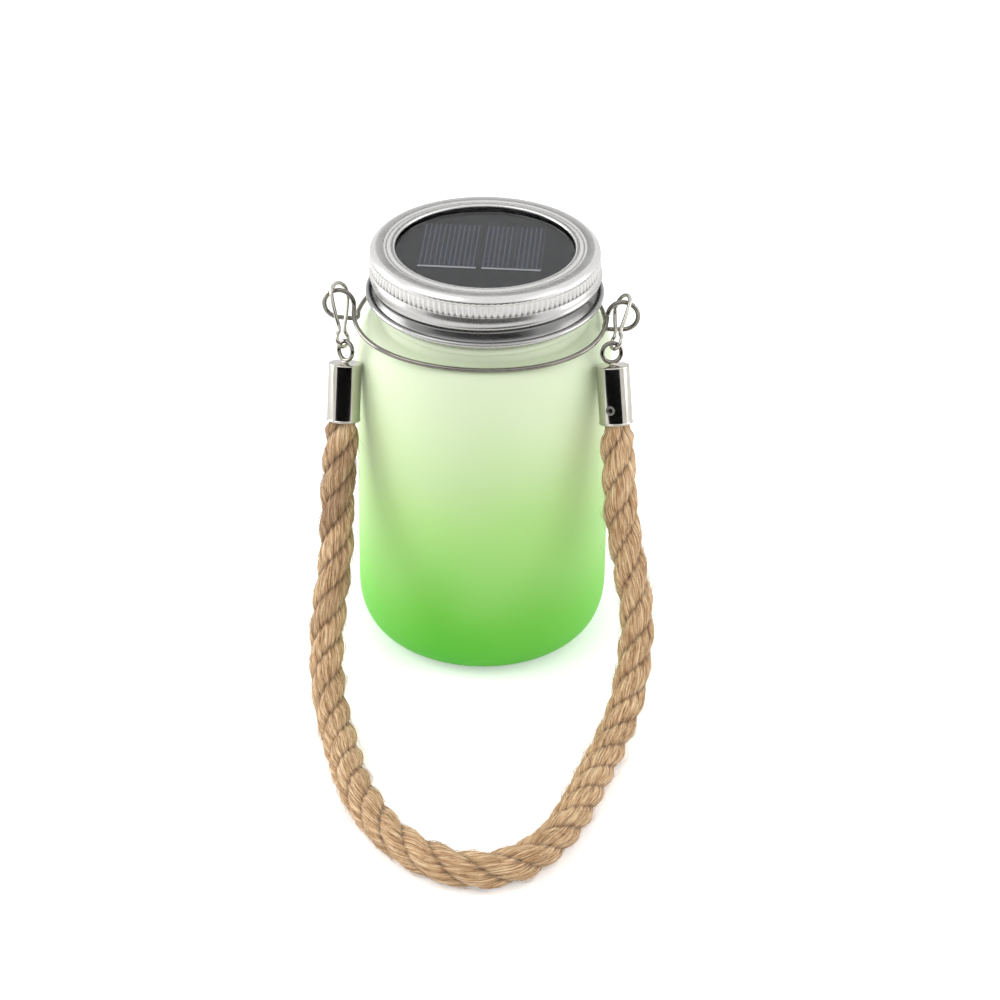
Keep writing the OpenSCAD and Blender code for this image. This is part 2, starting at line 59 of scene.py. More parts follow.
def colour(hex_code):
    """An sRGB hex colour as linear red, green, blue and alpha."""
    parts = [int(hex_code[i : i + 2], 16) / 255 for i in (1, 3, 5)]
    linear = [c / 12.92 if c <= 0.04045 else ((c + 0.055) / 1.055) ** 2.4 for c in parts]
    return (*linear, 1.0)


def in_scene(name, data):
    """A new object in the scene."""
    made = bpy.data.objects.new(name, data)
    bpy.context.scene.collection.objects.link(made)
    return made


def material(name):
    """An empty node material with its output and a Principled shader."""
    made = bpy.data.materials.new(name)
    made.use_nodes = True
    tree = made.node_tree
    tree.nodes.clear()
    out = tree.nodes.new("ShaderNodeOutputMaterial")
    shader = tree.nodes.new("ShaderNodeBsdfPrincipled")
    tree.links.new(shader.outputs["BSDF"], out.inputs["Surface"])
    return made, tree, shader


def feed(tree, node, inputs):
    """Sets each named socket of a node to a value or a hex colour, or links another node's output."""
    for key, value in inputs.items():
        if isinstance(value, bpy.types.NodeSocket):
            tree.links.new(value, node.inputs[key])
        else:
            node.inputs[key].default_value = colour(value) if isinstance(value, str) else value


def add(tree, kind, inputs=None, **settings):
    """Adds a node with its settings, and feeds its sockets."""
    made = tree.nodes.new("ShaderNode" + kind)
    for key, value in settings.items():
        setattr(made, key, value)
    feed(tree, made, inputs or {})
    return made


def ramp(tree, fac, stops, interpolation="LINEAR"):
    """A colour ramp's output; stops are (place, hex colour)."""
    made = add(tree, "ValToRGB", {"Fac": fac})
    made.color_ramp.interpolation = interpolation
    elements = made.color_ramp.elements
    for i, (place, hex_code) in enumerate(stops):
        e = elements[i] if i < 2 else elements.new(place)
        e.position = place
        e.color = colour(hex_code)
    return made.outputs["Color"]


def blend_over(tree, fac, below, above):
    """Colour above laid over colour below: below (1 - fac) + above fac."""
    return add(tree, "Mix", {0: fac, 6: below, 7: above}, data_type="RGBA").outputs[2]


def mm_cells(tree, size_mm, stretch=(1, 1, 1), detail=2.0, source=None):
    """Noise whose grain is size_mm across, on Object coordinates unless a source is given."""
    place = source or add(tree, "TexCoord").outputs["Object"]
    scaled = add(tree, "Mapping", {"Vector": place, "Scale": [s / (size_mm * MM) for s in stretch]})
    made = add(tree, "TexNoise", {"Vector": scaled.outputs["Vector"], "Scale": 1.0, "Detail": detail})
    return made.outputs["Fac"]


def give_bump(tree, shader, height, depth_mm, strength=1.0):
    """Bump of a real depth on a Principled shader."""
    made = add(tree, "Bump", {"Height": height, "Distance": depth_mm * MM, "Strength": strength})
    feed(tree, shader, {"Normal": made.outputs["Normal"]})


def give_range(tree, value, low, high, start=0.0, end=1.0):
    """low at start and high at end, straight between them and held beyond."""
    ends = {"Value": value, "From Min": start, "From Max": end, "To Min": low, "To Max": high}
    return add(tree, "MapRange", ends).outputs["Result"]


def corner_uv(mesh, uv, period):
    """UVs of the corners; where a ring closes, v goes on by one period and doesn't jump back."""
    corner = np.zeros(len(mesh.loops), np.int32)
    mesh.loops.foreach_get("vertex_index", corner)
    spread = np.asarray(uv, np.float32)[corner]
    if period:
        first = np.zeros(len(mesh.polygons), np.int32)
        count = np.zeros(len(mesh.polygons), np.int32)
        mesh.polygons.foreach_get("loop_start", first)
        mesh.polygons.foreach_get("loop_total", count)
        quads = first[count == 4][:, None] + np.arange(4)
        v = spread[quads, 1]
        high = v.max(1, keepdims=True)
        spread[quads, 1] = np.where(high - v > period / 2, v + period, v)
    return spread


def put_mesh(name, points, faces, body, paint, uv=None, period=0.0):
    """Points in millimetres and faces as a new piece that rides on a body."""
    mesh = bpy.data.meshes.new(name)
    mesh.from_pydata((np.asarray(points) * MM).tolist(), [], faces)
    mesh.polygons.foreach_set("use_smooth", np.ones(len(mesh.polygons), bool))
    if uv is not None:
        layer = mesh.uv_layers.new(name="along")
        layer.data.foreach_set("uv", corner_uv(mesh, uv, period).ravel())
    for p in paint if isinstance(paint, list) else [paint]:
        mesh.materials.append(p)
    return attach(in_scene(name, mesh), body)


def grid_faces(rows, columns, wrap_rows=False, wrap_columns=True, caps=False, start=0):
    """Quads over a grid whose point (r, c) is number r columns + c; caps close the end rings."""
    r = np.arange(rows if wrap_rows else rows - 1)[:, None]
    c = np.arange(columns if wrap_columns else columns - 1)[None, :]
    r2, c2 = (r + 1) % rows, (c + 1) % columns
    quads = np.stack([r * columns + c, r * columns + c2, r2 * columns + c2, r2 * columns + c], -1)
    faces = (quads.reshape(-1, 4) + start).tolist()
    if caps:
        faces.append((np.arange(columns)[::-1] + start).tolist())
        faces.append((np.arange(columns) + (rows - 1) * columns + start).tolist())
    return faces


def outward(points, faces):
    """The faces, turned round if their volume, the sum of a . (b x c) over triangles, is negative."""
    whole = np.array([f for f in faces if len(f) == 4])
    p = np.asarray(points)
    a, b, c, d = (p[whole[:, i]] for i in range(4))
    volume = (a * np.cross(b, c)).sum() + (a * np.cross(c, d)).sum()
    return faces if volume > 0 else [f[::-1] for f in faces]


def lathe(profile, steps, push=None):
    """A profile of (r, z) turned about Z: (r cos a, r sin a, z); push(a, z, r) adds to the radius."""
    profile = np.asarray(profile, float)
    a = TURN * np.arange(steps)[None, :] / steps
    r = np.repeat(profile[:, :1], steps, 1)
    z = np.repeat(profile[:, 1:], steps, 1)
    if push is not None:
        r = r + push(np.broadcast_to(a, r.shape), z, r)
    return np.stack([r * np.cos(a), r * np.sin(a), z], -1).reshape(-1, 3)


def lathe_piece(name, profile, steps, body, paint, push=None, loop=False, place=None):
    """A turned solid: its profile closes on itself, or its end rings are capped."""
    points = lathe(profile, steps, push)
    faces = outward(points, grid_faces(len(profile), steps, wrap_rows=loop, caps=not loop))
    if place is not None:
        points = place(points)
    return put_mesh(name, points, faces, body, paint)


def rounded(corners, radius, steps=6):
    """A polyline with quadratic corners: (1-t)^2 before + 2t(1-t) corner + t^2 after."""
    p = np.asarray(corners, float)
    before, mid, after = p[:-2], p[1:-1], p[2:]
    back, on = before - mid, after - mid
    lb = np.linalg.norm(back, axis=1, keepdims=True)
    lo = np.linalg.norm(on, axis=1, keepdims=True)
    cut = np.minimum(radius, np.minimum(lb, lo) * 0.49)
    a, b = mid + back / lb * cut, mid + on / lo * cut
    t = np.linspace(0, 1, steps)[None, :, None]
    curve = (1 - t) ** 2 * a[:, None] + 2 * t * (1 - t) * mid[:, None] + t**2 * b[:, None]
    return np.concatenate([p[:1], curve.reshape(-1, p.shape[1]), p[-1:]])


def walk(line):
    """Distance walked along a line, at each of its points."""
    return np.concatenate([[0], np.cumsum(np.linalg.norm(np.diff(line, axis=0), axis=1))])


def resample(path, step, closed=False):
    """Points at equal steps along the Catmull-Rom cubics through the given points."""
    p = np.asarray(path, float)
    ends = (p[-1:], p[:2]) if closed else (2 * p[:1] - p[1:2], 2 * p[-1:] - p[-2:-1])
    q = np.concatenate([ends[0], p, ends[1]])
    t = np.linspace(0, 1, 24, endpoint=False)[None, :, None]
    a, b, c, d = q[:-3, None], q[1:-2, None], q[2:-1, None], q[3:, None]
    square, cube = 2 * a - 5 * b + 4 * c - d, 3 * b - a - 3 * c + d
    dense = 0.5 * (2 * b + (c - a) * t + square * t**2 + cube * t**3)
    dense = np.concatenate([dense.reshape(-1, 3), q[-2:-1]])
    walked = walk(dense)
    count = max(8, int(round(walked[-1] / step)))
    at = np.linspace(0, walked[-1], count + 1)
    even = np.stack([np.interp(at, walked, dense[:, k]) for k in range(3)], 1)
    return even[:-1] if closed else even


def frames(path, toward, closed=False):
    """Tangents t, normals n = toward less its part along t, at length 1, and t x n."""
    if closed:
        t = np.roll(path, -1, 0) - np.roll(path, 1, 0)
    else:
        t = np.gradient(path, axis=0)
    t /= np.linalg.norm(t, axis=1, keepdims=True)
    n = toward - (toward * t).sum(1, keepdims=True) * t
    n /= np.linalg.norm(n, axis=1, keepdims=True)
    return t, n, np.cross(t, n)


def wire_piece(name, path, radius, body, paint, toward, closed=True, sides=16, step=0.5):
    """Round wire along a path: point = line + radius (cos a n + sin a b)."""
    line = resample(path, step, closed)
    lean = np.broadcast_to(np.asarray(toward, float), line.shape)
    _, n, b = frames(line, lean, closed)
    a = TURN * np.arange(sides)[None, :, None] / sides
    points = line[:, None] + radius * (np.cos(a) * n[:, None] + np.sin(a) * b[:, None])
    points = points.reshape(-1, 3)
    faces = outward(points, grid_faces(len(line), sides, wrap_rows=closed, caps=not closed))
    return put_mesh(name, points, faces, body, paint)


# ------ Camera and rope route

# The camera looks down on the jar from in front and a little to its right.
CAMERA_TURN = math.radians(4.0)
CAMERA_ABOVE = math.radians(30.18)
CAMERA_ROLL = math.radians(0.54)
CAMERA_AWAY = 1.1
CAMERA_AIM = Vector((0, 0, 0.07))
FRAME_PX = 1000
# Where the aim point falls in the rendered frame, and the focal length in pixels
AIM_X, AIM_Y = 483.5, 436.4
FOCAL = 3331.75


def make_camera():
    """A camera with no shift: it is turned so that the aim point falls off the middle."""
    data = bpy.data.cameras.new("camera")
    data.sensor_width = 36
    data.lens = FOCAL / FRAME_PX * data.sensor_width
    cam = in_scene("camera", data)
    bpy.context.scene.camera = cam
    turn = Matrix.Rotation(CAMERA_TURN, 3, "Z")
    ahead = turn @ Vector((0, math.cos(CAMERA_ABOVE), -math.sin(CAMERA_ABOVE)))
    right = turn @ Vector((1, 0, 0))
    roll = Matrix.Rotation(-CAMERA_ROLL, 3, ahead)
    right = roll @ right
    up = right.cross(ahead)
    cam.location = CAMERA_AIM - CAMERA_AWAY * ahead
    across, down = (FRAME_PX / 2 - AIM_X) / FOCAL, (FRAME_PX / 2 - AIM_Y) / FOCAL
    middle = (ahead + right * across - up * down).normalized()
    side = middle.cross(up).normalized()
    above = side.cross(middle)
    turned = Matrix((side, above, -middle)).transposed().to_4x4()
    cam.matrix_world = Matrix.Translation(cam.location) @ turned


make_camera()

# The rope leaves the left ferrule, lies on the ground in front of the jar and comes back on the right.
ROPE_ROUTE = [
    (-43.6, -19.3, 97), (-43.8, -22.3, 86.5), (-44, -22.9, 84.6), (-44.8, -26, 72), (-45.3, -30.5, 58),
    (-45.2, -37, 44), (-46.4, -45.5, 31), (-46.4, -56, 20), (-44.4, -68, 12), (-40.6, -81, 7.5),
    (-36.7, -94, 6), (-32.5, -108, 6), (-27, -120, 6), (-20.5, -131, 6), (-11.5, -141, 6),
    (0, -148, 6), (12, -149.5, 6), (23, -144, 6), (31, -134, 6), (36.5, -121, 6),
    (40.4, -107, 6), (43.9, -93, 6), (47.7, -79.5, 7.5), (51.4, -66, 12), (53.2, -53.5, 20),
    (53.4, -43, 31), (50.4, -35.5, 44), (47.4, -31, 58), (45.8, -28.2, 73), (44.4, -24.9, 89.2),
    (44.2, -24.4, 91.1), (43.3, -21.7, 100.5),
]
ROPE_STEP = 0.75
ROPE_D = 11.4
# The rope is pressed to ROPE_CORE_R for CORE_L at each end, and swells to full size over SWELL_L
ROPE_CORE_R, CORE_L, SWELL_L = 4.35, 11.2, 3
# Length along the rope in which a strand goes once round
ROPE_LAY = 34
STRANDS = 3
# Yarns round one strand
YARNS = 9
# Height over the ground at which the underside is pressed flat
GROUND_GAP = 0.25
# A point inside the loop, which the rope never points at
LOOP_MIDDLE = np.array([0.0, -70.0, 60.0])

# ------ Materials

# The spray runs from the heel (0) to the rim (1)
JAR_STOPS = [
    (0, "#07CA00"), (0.064, "#4CCF03"), (0.19, "#71DC3D"), (0.344, "#A1EB73"),
    (0.5, "#B9EF8B"), (0.66, "#D3F2B2"), (0.81, "#E7FACE"), (1, "#EBF6D8"),
]
SPRAY_FROM_Z, SPRAY_TO_Z = 0.01, 0.13
# Painted light: where the wall turns away from the camera its colour is lifted to these stops, standing
# in for light that comes through the coat
EDGE_LIGHT_STOPS = [(0.0, "#74E04A"), (0.2, "#A0EE6C"), (0.5, "#DDF9B8"), (0.8, "#ECFAD0"), (1.0, "#EFFBDD")]
# Typical IOR of soda-lime glass and of clear epoxy
GLASS_IOR = 1.5


def frosted_glass():
    """Soda-lime glass with a sprayed frost: white at the shoulder, running to green at the heel."""
    made, tree, shader = material("frosted_glass")
    place = add(tree, "TexCoord").outputs["Object"]
    height = add(tree, "SeparateXYZ", {"Vector": place}).outputs["Z"]
    drift = mm_cells(tree, 38, detail=1.0)
    wander = add(tree, "Math", {0: drift, 1: 0.02}, operation="MULTIPLY").outputs[0]
    level = add(tree, "Math", {0: height, 1: wander}, operation="ADD").outputs[0]
    share = give_range(tree, level, 0.0, 1.0, SPRAY_FROM_Z, SPRAY_TO_Z)
    tint = ramp(tree, share, JAR_STOPS)
    # Painted light on the edges that turn away from the camera
    edge = add(tree, "LayerWeight", {"Blend": 0.35}).outputs["Facing"]
    edge_lit_tint = blend_over(tree, edge, tint, ramp(tree, share, EDGE_LIGHT_STOPS))
    grain = mm_cells(tree, 0.35, detail=3.0)
    give_bump(tree, shader, grain, 0.02, 0.35)
    feed(tree, shader, {
        "Base Color": edge_lit_tint, "Roughness": give_range(tree, grain, 0.42, 0.56), "IOR": GLASS_IOR,
        "Transmission Weight": 0.18,
    })
    return made


def clear_glass():
    """The jar's bare inner face: smooth soda-lime glass."""
    made, tree, shader = material("clear_glass")
    wave = mm_cells(tree, 9, detail=1.0)
    shade = blend_over(tree, wave, "#F7FCF5", "#EEF8EC")
    give_bump(tree, shader, wave, 0.05, 0.3)
    feed(tree, shader, {
        "Base Color": shade, "Roughness": 0.05, "IOR": GLASS_IOR, "Transmission Weight": 1.0,
    })
    return made


def node_top(name):
    """The far upper corner of a node's box, in millimetres."""
    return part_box(name)[1] / MM


# Height of the band's top over the foot
BAND_TOP = node_top("screw_band").z


def below_top(tree, z, start, end):
    """0 at start mm under the band's top, running straight to 1 at end mm under it."""
    return give_range(tree, z, 0.0, 1.0, (BAND_TOP - start) * MM, (BAND_TOP - end) * MM)


def rolled_tinplate():
    """Rolled tinplate: satin grey metal with fine lines round its axis and faint handling marks.

    Painted shade greys the skirt, darkens the hollow over the wire curl and lies between the teeth.
    """
    made, tree, shader = material("rolled_tinplate")
    place = add(tree, "TexCoord").outputs["Object"]
    parts = add(tree, "SeparateXYZ", {"Vector": place})
    x, y, z = (parts.outputs[k] for k in "XYZ")
    flat = add(tree, "CombineXYZ", {"X": x, "Y": y})
    reach = add(tree, "VectorMath", {0: flat.outputs[0]}, operation="LENGTH").outputs["Value"]
    rings = add(tree, "CombineXYZ", {"X": reach, "Y": z, "Z": 0.0}).outputs[0]
    lines = mm_cells(tree, 0.25, detail=3.0, source=rings)
    marks = mm_cells(tree, 6, stretch=(1, 1, 2), detail=4.0)
    shade = blend_over(tree, lines, "#D6D5D4", "#F2F1EF")
    shade = blend_over(tree, give_range(tree, marks, 0.0, 0.35), shade, "#B0AFB0")
    # Painted shade: the skirt below the teeth is greyed towards the bottom
    skirt = below_top(tree, z, 6.8, 8.5)
    shade = blend_over(tree, give_range(tree, skirt, 0.0, 0.35), shade, "#7E7D7C")
    # Painted shade in the hollow over the wire curl
    low, near = below_top(tree, z, 11, 12.4), below_top(tree, z, 15.8, 15)
    recess_shade = add(tree, "Math", {0: low, 1: near}, operation="MULTIPLY")
    shade = blend_over(tree, give_range(tree, recess_shade.outputs[0], 0.0, 0.62), shade, "#3E3E40")
    # Painted shade between the teeth, most at their feet, read from the band's point attribute
    teeth_shade = add(tree, "Attribute", attribute_name="teeth_shade").outputs["Fac"]
    shade = blend_over(tree, give_range(tree, teeth_shade, 0.0, 0.8), shade, "#2B2A29")
    give_bump(tree, shader, lines, 0.012, 0.5)
    feed(tree, shader, {
        "Base Color": shade, "Roughness": give_range(tree, marks, 0.2, 0.34), "Metallic": 1.0,
    })
    return made


def nickel_plate(name, light, dull):
    """Polished nickel plate on steel: warm mirror with fine polishing lines and a few dull spots."""
    made, tree, shader = material(name)
    spots = mm_cells(tree, 3.2, detail=4.0)
    scratches = mm_cells(tree, 0.6, stretch=(1, 1, 0.15), detail=3.0)
    shade = blend_over(tree, give_range(tree, spots, 0.0, 0.7), light, dull)
    give_bump(tree, shader, scratches, 0.004, 0.4)
    feed(tree, shader, {
        "Base Color": shade, "Roughness": give_range(tree, scratches, 0.07, 0.16), "Metallic": 1.0,
    })
    return made


def coated(name, base, dark, roughness, grain_mm, depth_mm, metallic=0.0, sheen=0.0, gloss=0.5):
    """A moulded, lacquered or plated finish: two close shades in a grain of a real size, with bump."""
    made, tree, shader = material(name)
    grain = mm_cells(tree, grain_mm, detail=3.0)
    cloud = mm_cells(tree, grain_mm * 12, detail=2.0)
    shade = blend_over(tree, cloud, base, dark)
    give_bump(tree, shader, grain, depth_mm, 0.6)
    feed(tree, shader, {
        "Base Color": shade, "Roughness": give_range(tree, grain, roughness * 0.85, roughness * 1.15),
        "Metallic": metallic, "Sheen Weight": sheen, "Specular IOR Level": gloss,
    })
    return made


def clear_cover():
    """Clear cover of the panel: smooth polycarbonate with faint dust and hairline scratches."""
    made, tree, shader = material("clear_cover")
    dust = mm_cells(tree, 0.5, detail=5.0)
    hair = mm_cells(tree, 1.6, stretch=(1, 0.12, 1), detail=3.0)
    shade = blend_over(tree, hair, "#FFFFFF", "#ECEEF0")
    give_bump(tree, shader, hair, 0.003, 0.3)
    feed(tree, shader, {
        "Roughness": give_range(tree, dust, 0.03, 0.12), "Base Color": shade, "IOR": 1.49,
        "Transmission Weight": 1.0,
    })
    return made


# The real fingers are finer, about 0.1 mm; drawn as wide as they need to be to show
FINGER_PITCH = 1.55
FINGER_W = 0.4


def solar_silicon():
    """Crystalline silicon: near-black blue with crystal clouds and printed silver fingers."""
    made, tree, shader = material("solar_silicon")
    place = add(tree, "TexCoord").outputs["Object"]
    x = add(tree, "SeparateXYZ", {"Vector": place}).outputs["X"]
    within = add(tree, "Math", {0: x, 1: FINGER_PITCH / 2 * MM}, operation="PINGPONG").outputs[0]
    finger = add(tree, "Math", {0: within, 1: FINGER_W / 2 * MM}, operation="LESS_THAN").outputs[0]
    cloud = mm_cells(tree, 2.4, detail=2.0)
    blue = ramp(tree, cloud, [(0.3, "#0D0F16"), (0.6, "#141828"), (0.75, "#1C2650")])
    faded = give_range(tree, finger, 0.0, 0.85)
    give_bump(tree, shader, finger, 0.02, 0.3)
    feed(tree, shader, {
        "Base Color": blend_over(tree, faded, blue, "#646B82"),
        "Roughness": give_range(tree, cloud, 0.3, 0.4), "Specular IOR Level": 0.1,
    })
    return made


def circuit_mask():
    """Green solder mask over copper tracks on a glass-fibre board."""
    made, tree, shader = material("circuit_mask")
    place = add(tree, "TexCoord").outputs["Object"]
    tracks = add(tree, "TexBrick", {"Vector": place, "Scale": 260.0, "Mortar Size": 0.04})
    cloud = mm_cells(tree, 5, detail=2.0)
    base = blend_over(tree, cloud, "#1D5C33", "#164A29")
    shade = blend_over(tree, tracks.outputs["Fac"], base, "#3E8A55")
    give_bump(tree, shader, tracks.outputs["Fac"], 0.03, 0.5)
    feed(tree, shader, {"Base Color": shade, "Roughness": 0.35})
    return made


def enamelled_copper():
    """Wound copper wire under clear enamel: fine turns round the coil's axis."""
    made, tree, shader = material("enamelled_copper")
    place = add(tree, "TexCoord").outputs["Object"]
    turns = add(tree, "TexWave", {"Vector": place, "Scale": 650.0}, bands_direction="Z").outputs["Fac"]
    shade = blend_over(tree, turns, "#7A3F1C", "#B8703A")
    give_bump(tree, shader, turns, 0.15, 0.8)
    feed(tree, shader, {"Base Color": shade, "Roughness": 0.3, "Metallic": 0.8})
    return made


def epoxy_bead():
    """Clear epoxy drop over a lamp chip: slightly yellow, with small bubbles."""
    made, tree, shader = material("epoxy_bead")
    bubbles = mm_cells(tree, 0.6, detail=2.0)
    shade = blend_over(tree, bubbles, "#FFFDF2", "#F2E9B8")
    give_bump(tree, shader, bubbles, 0.05, 0.4)
    feed(tree, shader, {
        "Base Color": shade, "Roughness": 0.08, "IOR": GLASS_IOR, "Transmission Weight": 0.85,
    })
    return made


def jute(name, light, mid, dark):
    """Spun jute: coarse straw-coloured fibres along each yarn with brown flecks, and painted shade in
    the crevices.
    """
    made, tree, shader = material(name)
    uv = add(tree, "UVMap", uv_map="along").outputs["UV"]
    fibre = add(tree, "Mapping", {"Vector": uv, "Scale": (0.13, 3.2, 1)}).outputs["Vector"]
    streak = add(tree, "TexNoise", {"Vector": fibre, "Scale": 1.0, "Detail": 5.0, "Roughness": 0.65})
    fleck = add(tree, "TexNoise", {"Vector": fibre, "Scale": 2.7, "Detail": 2.0}).outputs["Fac"]
    cloud = mm_cells(tree, 9, detail=2.0)
    shade = ramp(tree, streak.outputs["Fac"], [(0.36, dark), (0.5, mid), (0.62, light)])
    shade = blend_over(tree, give_range(tree, cloud, 0.0, 0.35), shade, dark)
    spots = add(tree, "Math", {0: fleck, 1: 0.68}, operation="GREATER_THAN").outputs[0]
    shade = blend_over(tree, give_range(tree, spots, 0.0, 0.5), shade, "#5E4029")
    # The first end is darker: brown up to 30 mm along the rope, gone by 110 mm
    walked = add(tree, "SeparateXYZ", {"Vector": uv}).outputs["X"]
    shade = blend_over(tree, give_range(tree, walked, 0.0, 0.55, 110.0, 30.0), shade, "#6B4A30")
    # Painted shade in the crevices between strands and yarns, read from the rope's point attribute
    recess_shade = add(tree, "Attribute", attribute_name="recess_shade").outputs["Fac"]
    shade = blend_over(tree, give_range(tree, recess_shade, 0.0, 0.95), shade, "#4A2F1D")
    give_bump(tree, shader, streak.outputs["Fac"], 0.35, 0.9)
    feed(tree, shader, {"Base Color": shade, "Roughness": 0.85, "Sheen Weight": 0.15})
    return made


glass = frosted_glass()
bare_glass = clear_glass()
tinplate = rolled_tinplate()
nickel = nickel_plate("nickel_plate", "#D2CEC6", "#A8A49C")
# Painted shade: the wire takes a darker copy of the plate, standing in for the dark surroundings it
# reflects
shaded_wire_nickel = nickel_plate("shaded_wire_nickel", "#9C9891", "#5F5B56")
rope_jute = jute("laid_jute", "#FFE6BE", "#D8B184", "#83592F")

# ------ Rope


def rope_line():
    """Centreline of the rope at even steps, with its normals, distance walked and radius.

    The radius goes from ROPE_CORE_R to ROPE_D / 2 as 3 s^2 - 2 s^3.
    """
    line = resample(ROPE_ROUTE, ROPE_STEP)
    _, n, b = frames(line, LOOP_MIDDLE - line)
    walked = walk(line)
    from_end = np.minimum(walked, walked[-1] - walked)
    swell = np.clip((from_end - CORE_L) / SWELL_L, 0, 1)
    radius = ROPE_CORE_R + (ROPE_D / 2 - ROPE_CORE_R) * swell * swell * (3 - 2 * swell)
    return line, n, b, walked, radius


def slow_noise(length, count, spread, amount):
    """Random values at knots spread rows apart, blended by 3 f^2 - 2 f^3, in count columns."""
    knots = rng.normal(0, amount, (int(length / spread) + 3, count))
    at = np.linspace(0, len(knots) - 1.001, length)
    low = at.astype(int)
    f = (at - low)[:, None]
    f = f * f * (3 - 2 * f)
    return knots[low] * (1 - f) + knots[low + 1] * f


# Strand radius and its centre's distance from the axis, as shares of the rope's radius: laid strands
# are pressed together, so that they overlap and only shallow grooves stay between them
STRAND_SHARE, CENTRE_SHARE = 0.66, 0.33
# The yarns turn back against the lay and come out parallel to the rope
YARN_BACK = -CENTRE_SHARE / STRAND_SHARE
# Length of a strand's way round in the UV map, in millimetres
UV_ROUND = 17.0
SIDES = 60


def lay_angle(walked, k):
    """Place of strand k round the axis: angle = 2 pi (distance / lay + k / strands)."""
    return TURN * (walked / ROPE_LAY + k / STRANDS)


def skin(radius, walked, angle):
    """Radius of the rope's outline at an angle: the outermost of its three overlapping strands."""
    found = []
    for k in range(STRANDS):
        off = angle - lay_angle(walked, k)
        c, r = CENTRE_SHARE * radius, STRAND_SHARE * radius
        found.append(c * np.cos(off) + np.sqrt(np.maximum(r**2 - (c * np.sin(off)) ** 2, 0)))
    return np.max(found, axis=0)


def make_rope():
    """Three strands laid round each other; each is a tube whose wall waves with its yarns.

    Strand's middle = line + CENTRE_SHARE radius (cos lay n + sin lay b). Its wall's radius is
    STRAND_SHARE radius bulge, where bulge follows |sin(YARNS / 2 (a - turn))| and slow noise.
    """
    line, n, b, walked, radius = rope_line()
    a = TURN * np.arange(SIDES) / SIDES
    points, faces, uv, recess_shade = [], [], [], []
    for k in range(STRANDS):
        lay = lay_angle(walked, k)
        off = np.cos(lay)[:, None] * n + np.sin(lay)[:, None] * b
        middle = line + CENTRE_SHARE * radius[:, None] * off
        yarn_turn = YARN_BACK * lay[:, None] + slow_noise(len(line), 1, 14, 0.08)
        wave = np.abs(np.sin(YARNS / 2 * (a[None, :] - yarn_turn)))
        bulge = 0.97 + 0.1 * (wave - 0.5) + slow_noise(len(line), SIDES, 5, 0.012)
        bulge = bulge + slow_noise(len(line), 1, 16, 0.02)
        r = STRAND_SHARE * radius[:, None] * bulge
        round_n = np.cos(a)[None, :, None] * n[:, None] + np.sin(a)[None, :, None] * b[:, None]
        ring = middle[:, None] + r[..., None] * round_n
        out = np.linalg.norm(ring - line[:, None], axis=2) / radius[:, None]
        ring[..., 2] = np.maximum(ring[..., 2], GROUND_GAP)
        # Painted shade between the strands, and a little between the yarns
        between_strands = np.clip((0.86 - out) / 0.2, 0, 1)
        recess_shade.append((between_strands + 1.3 * np.clip(0.35 - wave, 0, 1)).ravel())
        uv.append(np.stack([
            np.repeat(walked[:, None], SIDES, 1) + 37 * k,
            (a[None, :] - YARN_BACK * lay[:, None]) / TURN * UV_ROUND,
        ], -1).reshape(-1, 2))
        faces += grid_faces(len(line), SIDES, caps=True, start=len(line) * SIDES * k)
        points.append(ring.reshape(-1, 3))
    points, uv = np.concatenate(points), np.concatenate(uv)
    piece = put_mesh("rope", points, outward(points, faces), "handle", rope_jute, uv, UV_ROUND)
    layer = piece.data.attributes.new("recess_shade", "FLOAT", "POINT")
    layer.data.foreach_set("value", np.clip(np.concatenate(recess_shade), 0, 1).astype(np.float32))
    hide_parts("rope_handle")
    return piece, line, n, b, radius, walked


FIBRES = 4200
# Steps of the rope's line at its two ends that are inside a ferrule or under its lip and grow no fibre
BARE_START, BARE_END = 22, 50


def make_fibres(line, n, b, radius, walked):
    """Loose fibres: each leaves the skin at a slant, arches and comes down, as a thin triangle tube.

    Its middle = line + (skin + lift sin(pi s share)) (cos turn n + sin turn b), with turn linear in s.
    """
    count, steps = FIBRES, 6
    start = rng.integers(BARE_START, len(line) - BARE_END, count)
    reach = rng.uniform(3, 13, count)
    angle = rng.uniform(0, TURN, count)
    swing = rng.normal(0, 0.55, count)
    lift = rng.exponential(0.5, count).clip(0, 2.6)
    s = np.linspace(0, 1, steps)[None, :]
    at = (start[:, None] + reach[:, None] * s).round().astype(int).clip(0, len(line) - 1)
    turn = angle[:, None] + swing[:, None] * s
    curl = np.sin(math.pi * s * rng.uniform(0.5, 1.0, count)[:, None])
    away = skin(radius[at], walked[at], turn) - 0.12 + lift[:, None] * curl
    out = np.cos(turn)[..., None] * n[at] + np.sin(turn)[..., None] * b[at]
    middle = line[at] + away[..., None] * out
    side = -np.sin(turn)[..., None] * n[at] + np.cos(turn)[..., None] * b[at]
    thick = (rng.uniform(0.045, 0.085, count)[:, None] * (1 - 0.7 * s))[..., None]
    back, rise = middle - 0.5 * thick * side, 0.87 * thick * out
    ring = np.stack([middle + thick * side, back + rise, back - rise], 2)
    ring[..., 2] = np.maximum(ring[..., 2], GROUND_GAP)
    base = (np.arange(count) * steps * 3)[:, None]
    one = np.array(grid_faces(steps, 3))
    faces = (base[:, :, None] + one[None]).reshape(-1, 4).tolist()
    caps = np.array([[2, 1, 0], [steps * 3 - 3, steps * 3 - 2, steps * 3 - 1]])
    faces += (base[:, :, None] + caps[None]).reshape(-1, 3).tolist()
    along, round_it = at[..., None] * 0.8, angle[:, None, None] * 5
    uv = np.stack([np.broadcast_to(v, ring.shape[:3]) for v in (along, round_it)], -1).reshape(-1, 2)
    piece = put_mesh("rope_fibres", ring.reshape(-1, 3), faces, "handle", rope_jute, uv)
    return piece


rope, rope_mid, rope_n, rope_b, rope_radius, rope_walked = make_rope()
fibres = make_fibres(rope_mid, rope_n, rope_b, rope_radius, rope_walked)

# ------ Jar


